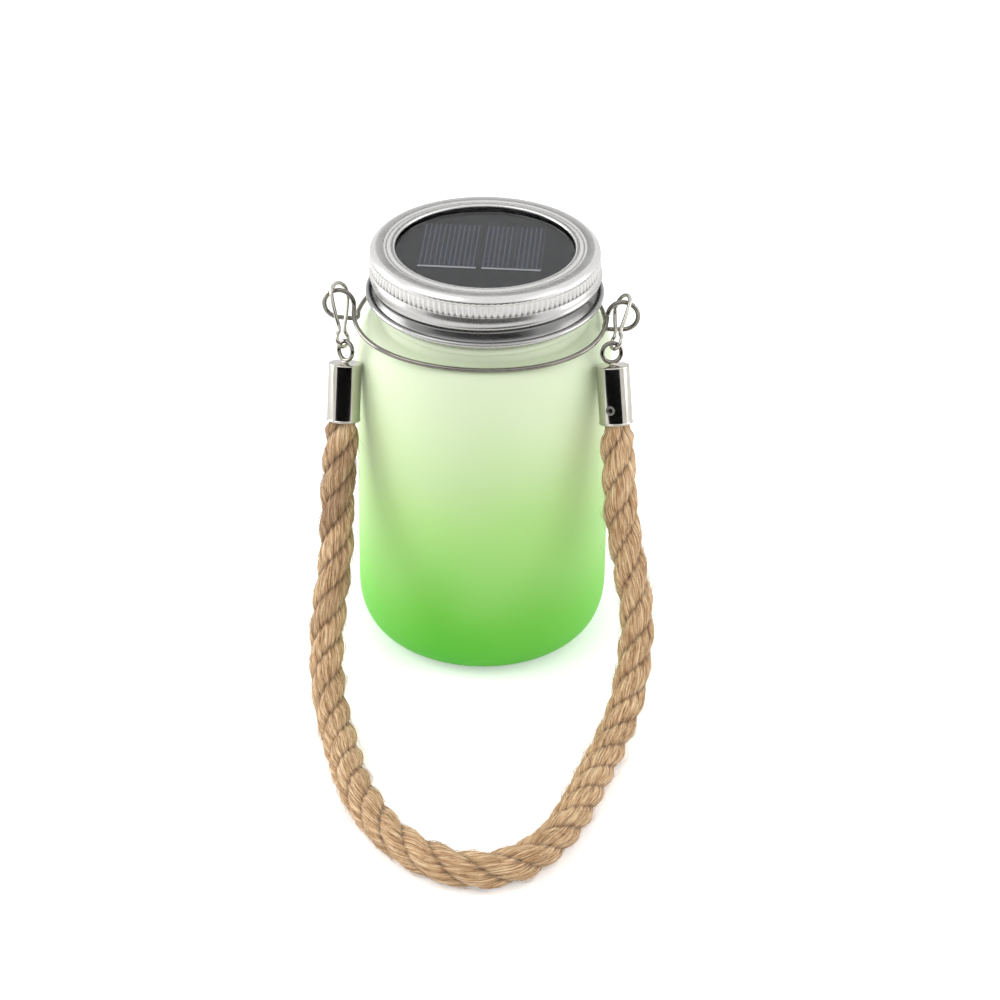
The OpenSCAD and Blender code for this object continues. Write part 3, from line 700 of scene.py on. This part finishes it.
JAR_R, RIM_Z = node_top("glass_jar").x, node_top("glass_jar").z
FOOT_R, HEEL_H, BODY_H, SHOULDER_H = 26.3, 19, 100, 16
NECK_R, MOUTH_R, THREAD_R = 33.9, 30, 33.2
WALL, FLOOR_T, PUSH_UP = 3.2, 5.5, 1
NECK_Z = BODY_H + SHOULDER_H
THREAD_PITCH, THREAD_DEPTH, THREAD_TURNS = 5.08, 1.6, 1.2
THREAD_Z = NECK_Z + 10.5
# Half the ridge's width at its foot, the height of each flank, and the run-out in radians
RIDGE_HALF, FLANK, RIDGE_RUNOUT = 1.3, 0.8, 0.25
# The transfer bead under the thread: its middle's height, half its height and how far it stands out
BEAD_Z, BEAD_HALF, BEAD_OUT = NECK_Z + 4.2, 1.2, 0.9
# A small hole on the axis keeps the turned shell's end rings open for their caps
AXIS_R = 0.4


def heel_curve(r0, r1, z0, height, steps=26, power=2.5):
    """Superellipse from the foot to the wall: ((r-r0) / (r1-r0))^power + (1 - z / height)^power = 1."""
    z = (1 - np.cos(np.linspace(0, math.pi / 2, steps))) * height
    u = (1 - z / height) ** power
    return np.stack([r0 + (r1 - r0) * (1 - u) ** (1 / power), z0 + z], 1)


def shoulder_curve(r0, r1, z0, height, steps=22):
    """Quarter ellipse from the wall to the neck: r = r1 + (r0 - r1) cos a, z = z0 + height sin a."""
    a = np.linspace(0, math.pi / 2, steps)
    return np.stack([r1 + (r0 - r1) * np.cos(a), z0 + height * np.sin(a)], 1)


def make_jar():
    """The jar's outer and inner faces as one turned shell; its thread is a helical ridge on the finish.

    Height of the ridge's middle = THREAD_Z + THREAD_PITCH (angle - first) / 2 pi.
    """
    rise = np.linspace(HEEL_H + 1, BODY_H - 1, 14)
    thread_rows = np.arange(NECK_Z + 8.4, RIM_Z - 1.2, 0.35)
    arc = np.linspace(-math.pi / 2, math.pi / 2, 9)
    outer = np.concatenate([
        [(AXIS_R, PUSH_UP), (FOOT_R - 10, PUSH_UP), (FOOT_R - 9, PUSH_UP * 0.6)],
        [(FOOT_R - 8, 0.05), (FOOT_R - 6, 0)],
        heel_curve(FOOT_R, JAR_R, 0, HEEL_H),
        np.stack([np.full(14, JAR_R), rise], 1),
        shoulder_curve(JAR_R, NECK_R, BODY_H, SHOULDER_H),
        [(NECK_R, BEAD_Z - 2)],
        np.stack([NECK_R + BEAD_OUT * np.cos(arc), BEAD_Z + BEAD_HALF * np.sin(arc)], 1),
        [(NECK_R, BEAD_Z + 2), (THREAD_R + 0.2, BEAD_Z + 3.4)],
        np.stack([np.full(len(thread_rows), THREAD_R), thread_rows], 1),
        rounded([
            (THREAD_R, RIM_Z - 1), (THREAD_R, RIM_Z), (MOUTH_R, RIM_Z), (MOUTH_R, RIM_Z - 1),
        ], 0.8),
    ])
    inner = np.concatenate([
        shoulder_curve(JAR_R - WALL, MOUTH_R, BODY_H - 1.5, SHOULDER_H - 1)[::-1],
        np.stack([np.full(14, JAR_R - WALL), rise[::-1]], 1),
        heel_curve(FOOT_R - 3, JAR_R - WALL, FLOOR_T, HEEL_H - 2)[::-1],
        [(FOOT_R - 8, FLOOR_T), (AXIS_R, FLOOR_T)],
    ])
    first, last = -math.pi / 2, -math.pi / 2 + TURN * THREAD_TURNS

    def ridge(a, z, r):
        """How far the thread stands out at an angle and height: its depth times 3 on^2 - 2 on^3."""
        on = np.zeros_like(a)
        for lap in (-1, 0, 1, 2):
            angle = a + lap * TURN
            mid = THREAD_Z + THREAD_PITCH * (angle - first) / TURN
            flank = np.clip(RIDGE_HALF - np.abs(z - mid), 0, FLANK) / FLANK
            ends = np.clip(np.minimum(angle - first, last - angle) / RIDGE_RUNOUT, 0, 1)
            on = np.maximum(on, flank * ends)
        finish = (np.abs(r - THREAD_R) < 0.05) & (z > NECK_Z + 8)
        return np.where(finish, THREAD_DEPTH * on * on * (3 - 2 * on), 0)

    steps = 240
    profile = np.concatenate([outer, inner])
    points = lathe(profile, steps, ridge)
    faces = outward(points, grid_faces(len(profile), steps, caps=True))
    piece = put_mesh("frosted_jar", points, faces, "jar", [glass, bare_glass])
    row = np.arange(len(faces)) // steps
    slots = (row >= len(outer) - 2).astype(np.int32)
    # The last two faces are the caps, of which the first is the one under the foot
    slots[-2] = 0
    piece.data.polygons.foreach_set("material_index", slots)
    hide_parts("glass_jar")


make_jar()

# ------ Screw band

BAND_R = 37.0
SHEET = 0.42
WINDOW_R = 29.0
CURL_R, CURL_RING_R = 0.95, BAND_R + 0.45
CURL_Z = BAND_TOP - 16.1
TEETH = 120
# Drops are counted down from the band's top: the teeth's two ends, and how fast they fade in and out
TEETH_TOP, TEETH_END, FADE_IN, FADE_OUT = 1.9, 6.7, 0.5, 0.25
# The teeth stand out by TOOTH_LOW at drop 3, and by TOOTH_MORE more from drop 6.4 down
TOOTH_LOW, TOOTH_MORE = 0.16, 0.34
# The rolled thread starts at this drop; its ridge and the hollow under it, with their half widths
ROLL_DROP, ROLL_OUT, ROLL_HALF = 10.9, 0.5, 0.65
HOLLOW_UNDER, HOLLOW_IN, HOLLOW_HALF = 1.7, 0.25, 0.9


def sheet_profile(line, thickness):
    """One closed outline round a sheet: its middle line plus and minus half the thickness."""
    d = np.gradient(line, axis=0)
    normal = np.stack([d[:, 1], -d[:, 0]], 1)
    normal /= np.linalg.norm(normal, axis=1, keepdims=True)
    return np.concatenate([line + normal * thickness / 2, (line - normal * thickness / 2)[::-1]])


def make_band():
    """Rolled sheet: lip, stepped top, knurled edge, rolled thread and an open wire curl."""
    t = BAND_TOP - SHEET / 2
    w = WINDOW_R
    top = rounded([
        (w + 0.1, t - 0.75), (w + 0.2, t - 0.1), (w + 1.5, t - 0.05), (w + 2.1, t - 0.38),
        (w + 3.0, t - 0.4), (w + 3.5, t - 0.1), (BAND_R - 1.5, t - 0.15), (BAND_R - 0.25, t - 1.4),
        (BAND_R - 0.22, t - 2.2),
    ], 0.55, 5)
    rows = np.linspace(t - 2.4, t - 6.4, 11)
    knurl = np.stack([np.full(11, BAND_R - 0.5), rows], 1)
    skirt = rounded([
        (BAND_R - 0.5, t - 6.6), (BAND_R - 0.45, t - 7.0), (BAND_R - 0.1, t - 8.2), (BAND_R, t - 9.0),
        (BAND_R - 0.3, t - 10.4), (BAND_R - 1.15, t - 11.8), (BAND_R - 1.2, t - 13.4),
        (BAND_R - 0.6, CURL_Z + 0.6),
    ], 0.8, 5)
    arc = np.radians(np.linspace(165, 470, 22))
    inner = CURL_R - SHEET / 2
    curl = np.stack([CURL_RING_R + inner * np.cos(arc), CURL_Z + inner * np.sin(arc)], 1)
    profile = sheet_profile(np.concatenate([top, knurl, skirt, curl]), SHEET)

    def tooth(a, drop):
        """0 in a valley and 1 on a crest: (1/2 + 1/2 cos(TEETH a))^0.8, faded out past both ends."""
        zone = np.clip((drop - TEETH_TOP) / FADE_IN, 0, 1)
        zone = zone * np.clip((TEETH_END - drop) / FADE_OUT, 0, 1)
        return zone * (0.5 + 0.5 * np.cos(TEETH * a)) ** 0.8

    def press(a, z, r):
        """The teeth, and a rolled thread that climbs a pitch round the skirt: a ridge over a hollow."""
        drop = BAND_TOP - z
        skirt_rows = (r > BAND_R - 3) & (drop < 14.5)
        teeth = (TOOTH_LOW + TOOTH_MORE * np.clip((drop - 3) / 3.4, 0, 1)) * tooth(a, drop)
        past_back = np.mod(a + math.pi, TURN)
        off = drop - (ROLL_DROP - THREAD_PITCH * (past_back - math.pi / 2) / TURN)
        bulge = ROLL_OUT * np.exp(-((off / ROLL_HALF) ** 2))
        bulge = bulge - HOLLOW_IN * np.exp(-(((off - HOLLOW_UNDER) / HOLLOW_HALF) ** 2))
        # The thread fades out over half a radian on both sides of the place where it would meet itself
        runout = np.clip((math.pi - np.abs(past_back - math.pi)) / 0.5, 0, 1)
        bulge = bulge * runout * runout * (3 - 2 * runout)
        return np.where(skirt_rows, teeth + bulge * np.clip((drop - 7.4) / 1.0, 0, 1), 0)

    steps = TEETH * 8
    piece = lathe_piece("tin_band", profile, steps, "band", tinplate, press, loop=True)
    a = np.repeat(TURN * np.arange(steps)[None, :] / steps, len(profile), 0)
    drop = np.repeat(BAND_TOP - profile[:, 1:], steps, 1)
    outside = np.repeat(profile[:, :1] > BAND_R - 1, steps, 1)
    # Painted shade lies between the teeth, most of it at their lower ends
    shade_between_teeth = (1 - (0.5 + 0.5 * np.cos(TEETH * a)) ** 0.6) * np.exp(-((drop - 6.5) / 0.55) ** 2)
    shade_between_teeth = shade_between_teeth + 0.35 * (1 - tooth(a, drop)) * np.clip((drop - 2.2) / 4, 0, 1) * (drop < 6.9)
    layer = piece.data.attributes.new("teeth_shade", "FLOAT", "POINT")
    layer.data.foreach_set("value", np.clip(shade_between_teeth * outside, 0, 1).ravel().astype(np.float32))
    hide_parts("screw_band")


make_band()

# ------ Neck wire, clips, eyes, ferrules

WIRE_D, EAR_R = 1.5, 4.9
EAR_SEAT_R = max(JAR_R, NECK_R + 7.5)
EAR_X = (-(EAR_SEAT_R + 5.1), EAR_SEAT_R + 3.3)
EAR_Y = -5
EAR_FOOT_Z = NECK_Z - 1
EAR_Z = EAR_FOOT_Z + EAR_R
HINGE_Z = EAR_Z + EAR_R
ENTRY_Y = EAR_Y - WIRE_D - 0.1
WIRE_FRONT_R = NECK_R + 3.5
WIRE_BACK_Y = NECK_R + 2.4
# The front of the wire lies just above the shoulder's ellipse
SHOULDER_SHARE = (WIRE_FRONT_R - NECK_R) / (JAR_R - NECK_R)
WIRE_FRONT_Z = BODY_H + SHOULDER_H * math.sqrt(1 - SHOULDER_SHARE**2) + WIRE_D / 2 + 0.7
WIRE_BACK_RISE = 2.5
EAR_MID = sum(EAR_X) / 2
EAR_HALF = (EAR_X[1] - EAR_X[0]) / 2 - EAR_R


def ear_loop(x, side):
    """One ear: (x - side R cos a, y, z + R sin a) to a = 270 degrees; y drifts back into its plane."""
    a = np.radians(15 * np.arange(19))
    y = EAR_Y + (ENTRY_Y - EAR_Y) * np.clip(1 - np.arange(19) / 6, 0, 1) ** 2
    return np.stack([x - side * EAR_R * np.cos(a), y, EAR_Z + EAR_R * np.sin(a)], 1)


def make_neck_wire():
    """Half ellipses in front and behind, joined by the ears, in steps of 6 degrees.

    The front one dips on to the shoulder as (1 - sin a)^2, the back one rises by sin a.
    """
    front = np.radians(6 * np.arange(1, 30))
    front = np.stack([
        EAR_MID - EAR_HALF * np.cos(front),
        ENTRY_Y - (WIRE_FRONT_R + ENTRY_Y) * np.sin(front),
        WIRE_FRONT_Z + (EAR_Z - WIRE_FRONT_Z) * (1 - np.sin(front)) ** 2,
    ], 1)
    back = np.radians(6 * np.arange(0, 31))
    back = np.stack([
        EAR_MID + (EAR_HALF - 0.5) * np.cos(back),
        EAR_Y + (WIRE_BACK_Y - EAR_Y) * np.sin(back),
        EAR_FOOT_Z + WIRE_BACK_RISE * np.sin(back),
    ], 1)
    path = np.concatenate([front, ear_loop(EAR_X[1], 1), back, ear_loop(EAR_X[0], -1)[::-1]])
    piece = wire_piece("collar_wire", path, WIRE_D / 2, "collar", shaded_wire_nickel, (0.13, 0.31, 0.94))
    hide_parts("neck_wire")


make_neck_wire()

CLIP_D, CLIP_WIDE_R, CLIP_NARROW_R, CLIP_WAIST_R = 1.3, 3.75, 2.6, 1.35
# The clip leans by CLIP_YAW; its wide arc runs CLIP_PLAY past the ear, its narrow one CLIP_SLIP short
CLIP_YAW, CLIP_PLAY, CLIP_NECK, CLIP_SLIP = math.radians(38), 2.4, 4, 0.9
EYE_WIRE_D, EYE_R = 1.4, 3.1
EYE_RISE = EYE_R + EYE_WIRE_D / 2 + 0.2
# Left and right: the eye's turn about its ferrule, and where on the ring the clip holds it
EYE_TURN = np.radians([40, 15])
EYE_HOLD = np.radians([60, 60])
FERRULE_D, FERRULE_L, FERRULE_WALL = 10.7, 19.1, 0.5


def unit(v):
    """A vector at length 1."""
    return v / np.linalg.norm(v)


FERRULE_TOP = np.array([
    [-(EAR_SEAT_R + FERRULE_D / 2 - 3.25), -17, NECK_Z - 11],
    [EAR_SEAT_R + FERRULE_D / 2 - 4.45, -19, NECK_Z - 6.5],
])
FERRULE_UP = np.array([unit(np.array([0.3, 5.3, 18.5])), unit(np.array([-1.9, 5.3, 18.1]))])
FERRULE_MOUTH = FERRULE_TOP - FERRULE_L * FERRULE_UP
SCREW_Z, SCREW_R = 5.3, 1.5
SCREW_TURN = np.radians([75, -105])
SIDE = (-1, 1)


def ferrule_axes(i):
    """Columns that lean a piece drawn along +Z into the ferrule's own direction, with no spin."""
    x, y, z = FERRULE_UP[i]
    return np.array(Matrix.Rotation(math.acos(z), 3, Vector((-y, x, 0))))


def make_clip(i, name):
    """Pear-shaped snap clip: a wide arc, two legs that draw in as k^1.4, and a narrow arc.

    Its path = hinge + u d + v e, where d points from the ear to the eye and e across.
    """
    across = np.array([SIDE[i] * math.cos(EYE_TURN[i]), math.sin(EYE_TURN[i]), 0])
    spot = EYE_R * (math.cos(EYE_HOLD[i]) * across + math.sin(EYE_HOLD[i]) * np.array([0, 0, 1]))
    held = FERRULE_TOP[i] + ferrule_axes(i) @ (spot + np.array([0, 0, EYE_RISE]))
    hinge = np.array([EAR_X[i], EAR_Y, HINGE_Z])
    d = unit(held - hinge)
    reach = np.linalg.norm(held - hinge) - CLIP_SLIP
    up = unit(np.array([0, -d[2], d[1]]) * np.sign(d[1]))
    flat = math.cos(CLIP_YAW) * up + SIDE[i] * math.sin(CLIP_YAW) * np.array([1, 0, 0])
    e = unit(flat - flat @ d * d)
    mid = CLIP_WIDE_R - CLIP_PLAY
    k = np.arange(7) / 6
    draw_in = CLIP_WIDE_R + (CLIP_WAIST_R - CLIP_WIDE_R) * k**1.4
    leg = np.stack([mid + (reach - CLIP_NECK - mid) * k, draw_in], 1)
    wide = np.radians(np.arange(106, 255, 14.8))
    narrow = np.radians(np.arange(-146, 147, 20.8))
    outline = np.concatenate([
        leg[::-1],
        np.stack([mid + CLIP_WIDE_R * np.cos(wide), CLIP_WIDE_R * np.sin(wide)], 1),
        leg * [1, -1],
        np.stack([reach + CLIP_NARROW_R * np.cos(narrow), CLIP_NARROW_R * np.sin(narrow)], 1),
    ])
    path = hinge + outline[:, :1] * d + outline[:, 1:] * e
    across = np.cross(d, e)
    piece = wire_piece(name + "_wire", path, CLIP_D / 2, "handle", nickel, across, sides=14, step=0.35)
    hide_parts(name)


def make_eye(i, name):
    """Closed ring, R (cos a, 0, sin a) turned and leaned with its ferrule, with a short turned foot."""
    a = np.radians(15 * np.arange(24))
    turn = SIDE[i] * EYE_TURN[i]
    lean = ferrule_axes(i)
    ring = EYE_R * np.stack([np.cos(a) * math.cos(turn), np.cos(a) * math.sin(turn), np.sin(a)], 1)
    ring = (ring + np.array([0, 0, EYE_RISE])) @ lean.T + FERRULE_TOP[i]
    across = lean @ np.array([-math.sin(turn), math.cos(turn), 0.0])
    piece = wire_piece(name + "_ring", ring, EYE_WIRE_D / 2, "handle", shaded_wire_nickel, across, step=0.4)
    foot = rounded([(0.1, 0.9), (0.8, 0.9), (1.15, 0.45), (1.15, 0.02), (0.1, 0.02)], 0.2, 4)
    lathe_piece(name + "_foot", foot, 24, "handle", nickel, place=lambda p: p @ lean.T + FERRULE_TOP[i])
    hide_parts(name)


def make_ferrule(i, name):
    """Drawn cup, its outline turned about its own axis: soft top, thin rolled lip, open below."""
    r = FERRULE_D / 2
    inner, ceiling = r - FERRULE_WALL, FERRULE_L - 0.8
    turn = ferrule_axes(i)
    outline = np.concatenate([
        rounded([(0.1, FERRULE_L), (r, FERRULE_L), (r, 1.2), (r, 0.9)], 0.45, 6),
        np.stack([r + 0.17 * np.sin(np.linspace(0, math.pi, 9)), np.linspace(0.85, 0.1, 9)], 1),
        [(r - FERRULE_WALL * 0.4, 0.0), (inner, 0.2), (inner, ceiling), (0.1, ceiling)],
    ])

    def place(p):
        """Leaned into the ferrule's direction and carried to its mouth."""
        return p @ turn.T + FERRULE_MOUTH[i]

    piece = lathe_piece(name + "_cup", outline, 96, "handle", nickel, place=place)
    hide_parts(name)


def make_set_screw(i):
    """Grub screw: chamfered rim round a six-sided socket."""
    turn = ferrule_axes(i)
    spin = np.array(Matrix.Rotation(SCREW_TURN[i], 3, "Z") @ Matrix.Rotation(math.pi / 2, 3, "Y"))
    rim = [(0.05, -0.5), (SCREW_R, -0.5), (SCREW_R, 0.12)]
    socket = [(0.85, 0.12), (0.8, -0.35), (0.05, -0.35)]
    outline = rounded(rim + socket, 0.12, 3)

    def hexagon(a, z, r):
        """Six flats inside the rim: the radius is scaled by 0.94 / cos(angle from a flat's middle)."""
        flat = np.cos(np.mod(a, TURN / 6) - TURN / 12)
        return np.where(r < 0.9, r * (0.94 / flat - 1), 0)

    def place(p):
        """Turned to point out of the ferrule's side, and carried on to its wall."""
        out = p @ spin.T
        rise = (FERRULE_D / 2) * np.array(spin[:, 2]) + np.array([0, 0, SCREW_Z])
        return (out + rise) @ turn.T + FERRULE_MOUTH[i]

    return lathe_piece(f"set_screw_{i + 1}", outline, 48, "handle", steel, hexagon, place=place)


# Bright zinc on steel, turned: soft grey shine in a fine grain
steel = coated("zinc_steel", "#A9A8A6", "#8D8B88", 0.28, 0.3, 0.01, metallic=1.0)
for i, side in enumerate(("left", "right")):
    make_clip(i, "clip_" + side)
    make_eye(i, "eye_" + side)
    make_ferrule(i, "ferrule_" + side)
    screw = make_set_screw(i)
    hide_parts("set_screws")

# ------ Finishes of the module and the string

FINISHES = {
    # Silicone gasket, moulded: matt, faintly cloudy white
    "seal_ring": coated("silicone", "#E4E4DF", "#D2D2CC", 0.6, 0.6, 0.02, sheen=0.1),
    # Injection-moulded ABS with a spark-eroded texture
    "module_housing": coated("abs_black", "#1C1D1F", "#26272A", 0.5, 0.35, 0.03),
    "base_cover": coated("abs_charcoal", "#232427", "#2E2F33", 0.52, 0.35, 0.03),
    "battery_door": coated("abs_graphite", "#2B2C30", "#35363B", 0.5, 0.35, 0.03),
    "switch_body": coated("nylon_black", "#141416", "#1E1E21", 0.45, 0.3, 0.02),
    "switch_knob": coated("acetal_white", "#E8E8E6", "#D9D9D6", 0.4, 0.3, 0.015),
    # Natural rubber, moulded: matt with a light bloom
    "string_grommet": coated("rubber_black", "#202020", "#2C2B2A", 0.7, 0.5, 0.03, sheen=0.2),
    "panel_cover": clear_cover(),
    "solar_cells": solar_silicon(),
    # Tinned copper ribbon, rolled and dipped: bright with soft ripples
    "cell_tabs": coated("tinned_ribbon", "#F2F2F3", "#C9CACD", 0.5, 0.5, 0.02, metallic=0.6),
    # Black lacquer on glass-fibre board, bonded under the cover and so with little gloss of its own
    "panel_board": coated("lacquered_board", "#17181A", "#1C1D20", 0.5, 0.4, 0.001, gloss=0.08),
    # Extruded vinyl over stranded copper
    "panel_leads": coated("vinyl_red", "#A8231D", "#8E1C17", 0.4, 0.4, 0.02),
    "hookup_leads": coated("vinyl_crimson", "#9C221C", "#7E1915", 0.4, 0.4, 0.02),
    "circuit_board": circuit_mask(),
    # Transfer-moulded epoxy round a chip
    "controller_chip": coated("chip_epoxy", "#1B1B1C", "#252526", 0.6, 0.15, 0.01),
    "inductor_coil": enamelled_copper(),
    # Heat-shrunk sleeve of the rechargeable cell
    "battery_cell": coated("shrink_sleeve", "#2C7A4B", "#226340", 0.35, 0.8, 0.02),
    # Nickel-plated spring steel
    "battery_spring": coated("spring_nickel", "#C9C5BC", "#ADA99F", 0.22, 0.3, 0.01, metallic=1.0),
    "battery_contact": coated("contact_nickel", "#CFCBC2", "#B5B1A7", 0.22, 0.3, 0.01, metallic=1.0),
    "cover_screws": coated("zinc_plate", "#B4B4B2", "#94948F", 0.3, 0.3, 0.01, metallic=1.0),
    # Pair of enamelled wires, twisted
    "string_wire": coated("enamel_wire", "#6E675C", "#575147", 0.35, 0.4, 0.05),
    "string_lights": epoxy_bead(),
}
for name, finish in FINISHES.items():
    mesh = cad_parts[name].data
    mesh.materials.clear()
    mesh.materials.append(finish)

# ------ Floor, light and world


def quad(name, corners):
    """A flat piece of the stage with four corners."""
    mesh = bpy.data.meshes.new(name)
    mesh.from_pydata(corners, [], [(0, 1, 2, 3)])
    return in_scene(name, mesh)


# Light that the paper adds for the camera alone, so that it reads as plain white
FLOOR_LIFT = 0.35


def make_floor():
    """Matt white studio paper with a faint fibre, plain white to the camera where unshaded."""
    half = 3.0
    floor = quad("floor", [(-half, -half, 0), (half, -half, 0), (half, half, 0), (-half, half, 0)])
    made, tree, shader = material("studio_paper")
    fibre = mm_cells(tree, 2.0, detail=4.0)
    shade = blend_over(tree, fibre, "#FAFAF9", "#F6F6F5")
    seen = add(tree, "LightPath").outputs["Is Camera Ray"]
    feed(tree, shader, {
        "Base Color": shade, "Roughness": 0.9, "Specular IOR Level": 0.1,
        "Emission Color": (1, 1, 1, 1), "Emission Strength": give_range(tree, seen, 0.0, FLOOR_LIFT),
    })
    floor.data.materials.append(made)


def lamp(name, place, aim, size, power):
    """A square soft box of size metres and power watts that looks at a point."""
    data = bpy.data.lights.new(name, "AREA")
    data.size = size
    data.energy = power
    made = in_scene(name, data)
    made.location = place
    made.rotation_euler = (Vector(aim) - Vector(place)).to_track_quat("-Z", "Y").to_euler()


def black_card(name, left, right, y, low, high):
    """A studio flag that only reflections see: upright at y, from left to right and low to high."""
    card = quad(name, [(left, y, low), (right, y, low), (right, y, high), (left, y, high)])
    made, tree, shader = material(name + "_felt")
    feed(tree, shader, {"Base Color": "#0A0A0B", "Roughness": 0.95, "Specular IOR Level": 0.0})
    card.data.materials.append(made)
    for sees in ("camera", "diffuse", "shadow", "transmission", "volume_scatter"):
        setattr(card, "visible_" + sees, False)


WORLD_LIGHT = 0.92


def make_world():
    """Even white surround: 1 to the camera, reflections and glass, and WORLD_LIGHT as a light."""
    world = bpy.data.worlds.new("studio")
    bpy.context.scene.world = world
    world.use_nodes = True
    tree = world.node_tree
    tree.nodes.clear()
    path = add(tree, "LightPath").outputs
    seen = path["Is Camera Ray"]
    for ray in ("Is Glossy Ray", "Is Transmission Ray"):
        seen = add(tree, "Math", {0: seen, 1: path[ray]}, operation="MAXIMUM").outputs[0]
    strength = give_range(tree, seen, WORLD_LIGHT, 1.0)
    light = add(tree, "Background", {"Color": (1, 1, 1, 1), "Strength": strength})
    out = add(tree, "OutputWorld")
    tree.links.new(light.outputs[0], out.inputs["Surface"])


make_floor()
# Name, place, aim, size in metres and power in watts
for soft_box in (
    ("key_box", (-0.55, -0.35, 0.85), (0, -0.02, 0.07), 0.55, 1.5),
    ("fill_box", (0.7, -0.3, 0.6), (0, -0.02, 0.07), 0.6, 0.6),
    ("left_box", (-0.8, 0.1, 0.25), (0, 0, 0.06), 0.5, 3.0),
    ("right_box", (0.8, 0.1, 0.25), (0, 0, 0.06), 0.5, 1.4),
):
    lamp(*soft_box)
# One flag stands low in front for the polished wires and cups, one hangs where the panel's cover looks
black_card("front_flag", left=-0.75, right=0.75, y=-0.62, low=0.0, high=0.3)
black_card("panel_flag", left=-0.2, right=0.08, y=0.9, low=0.54, high=0.78)
make_world()
bpy.context.scene.view_settings.view_transform = "Standard"
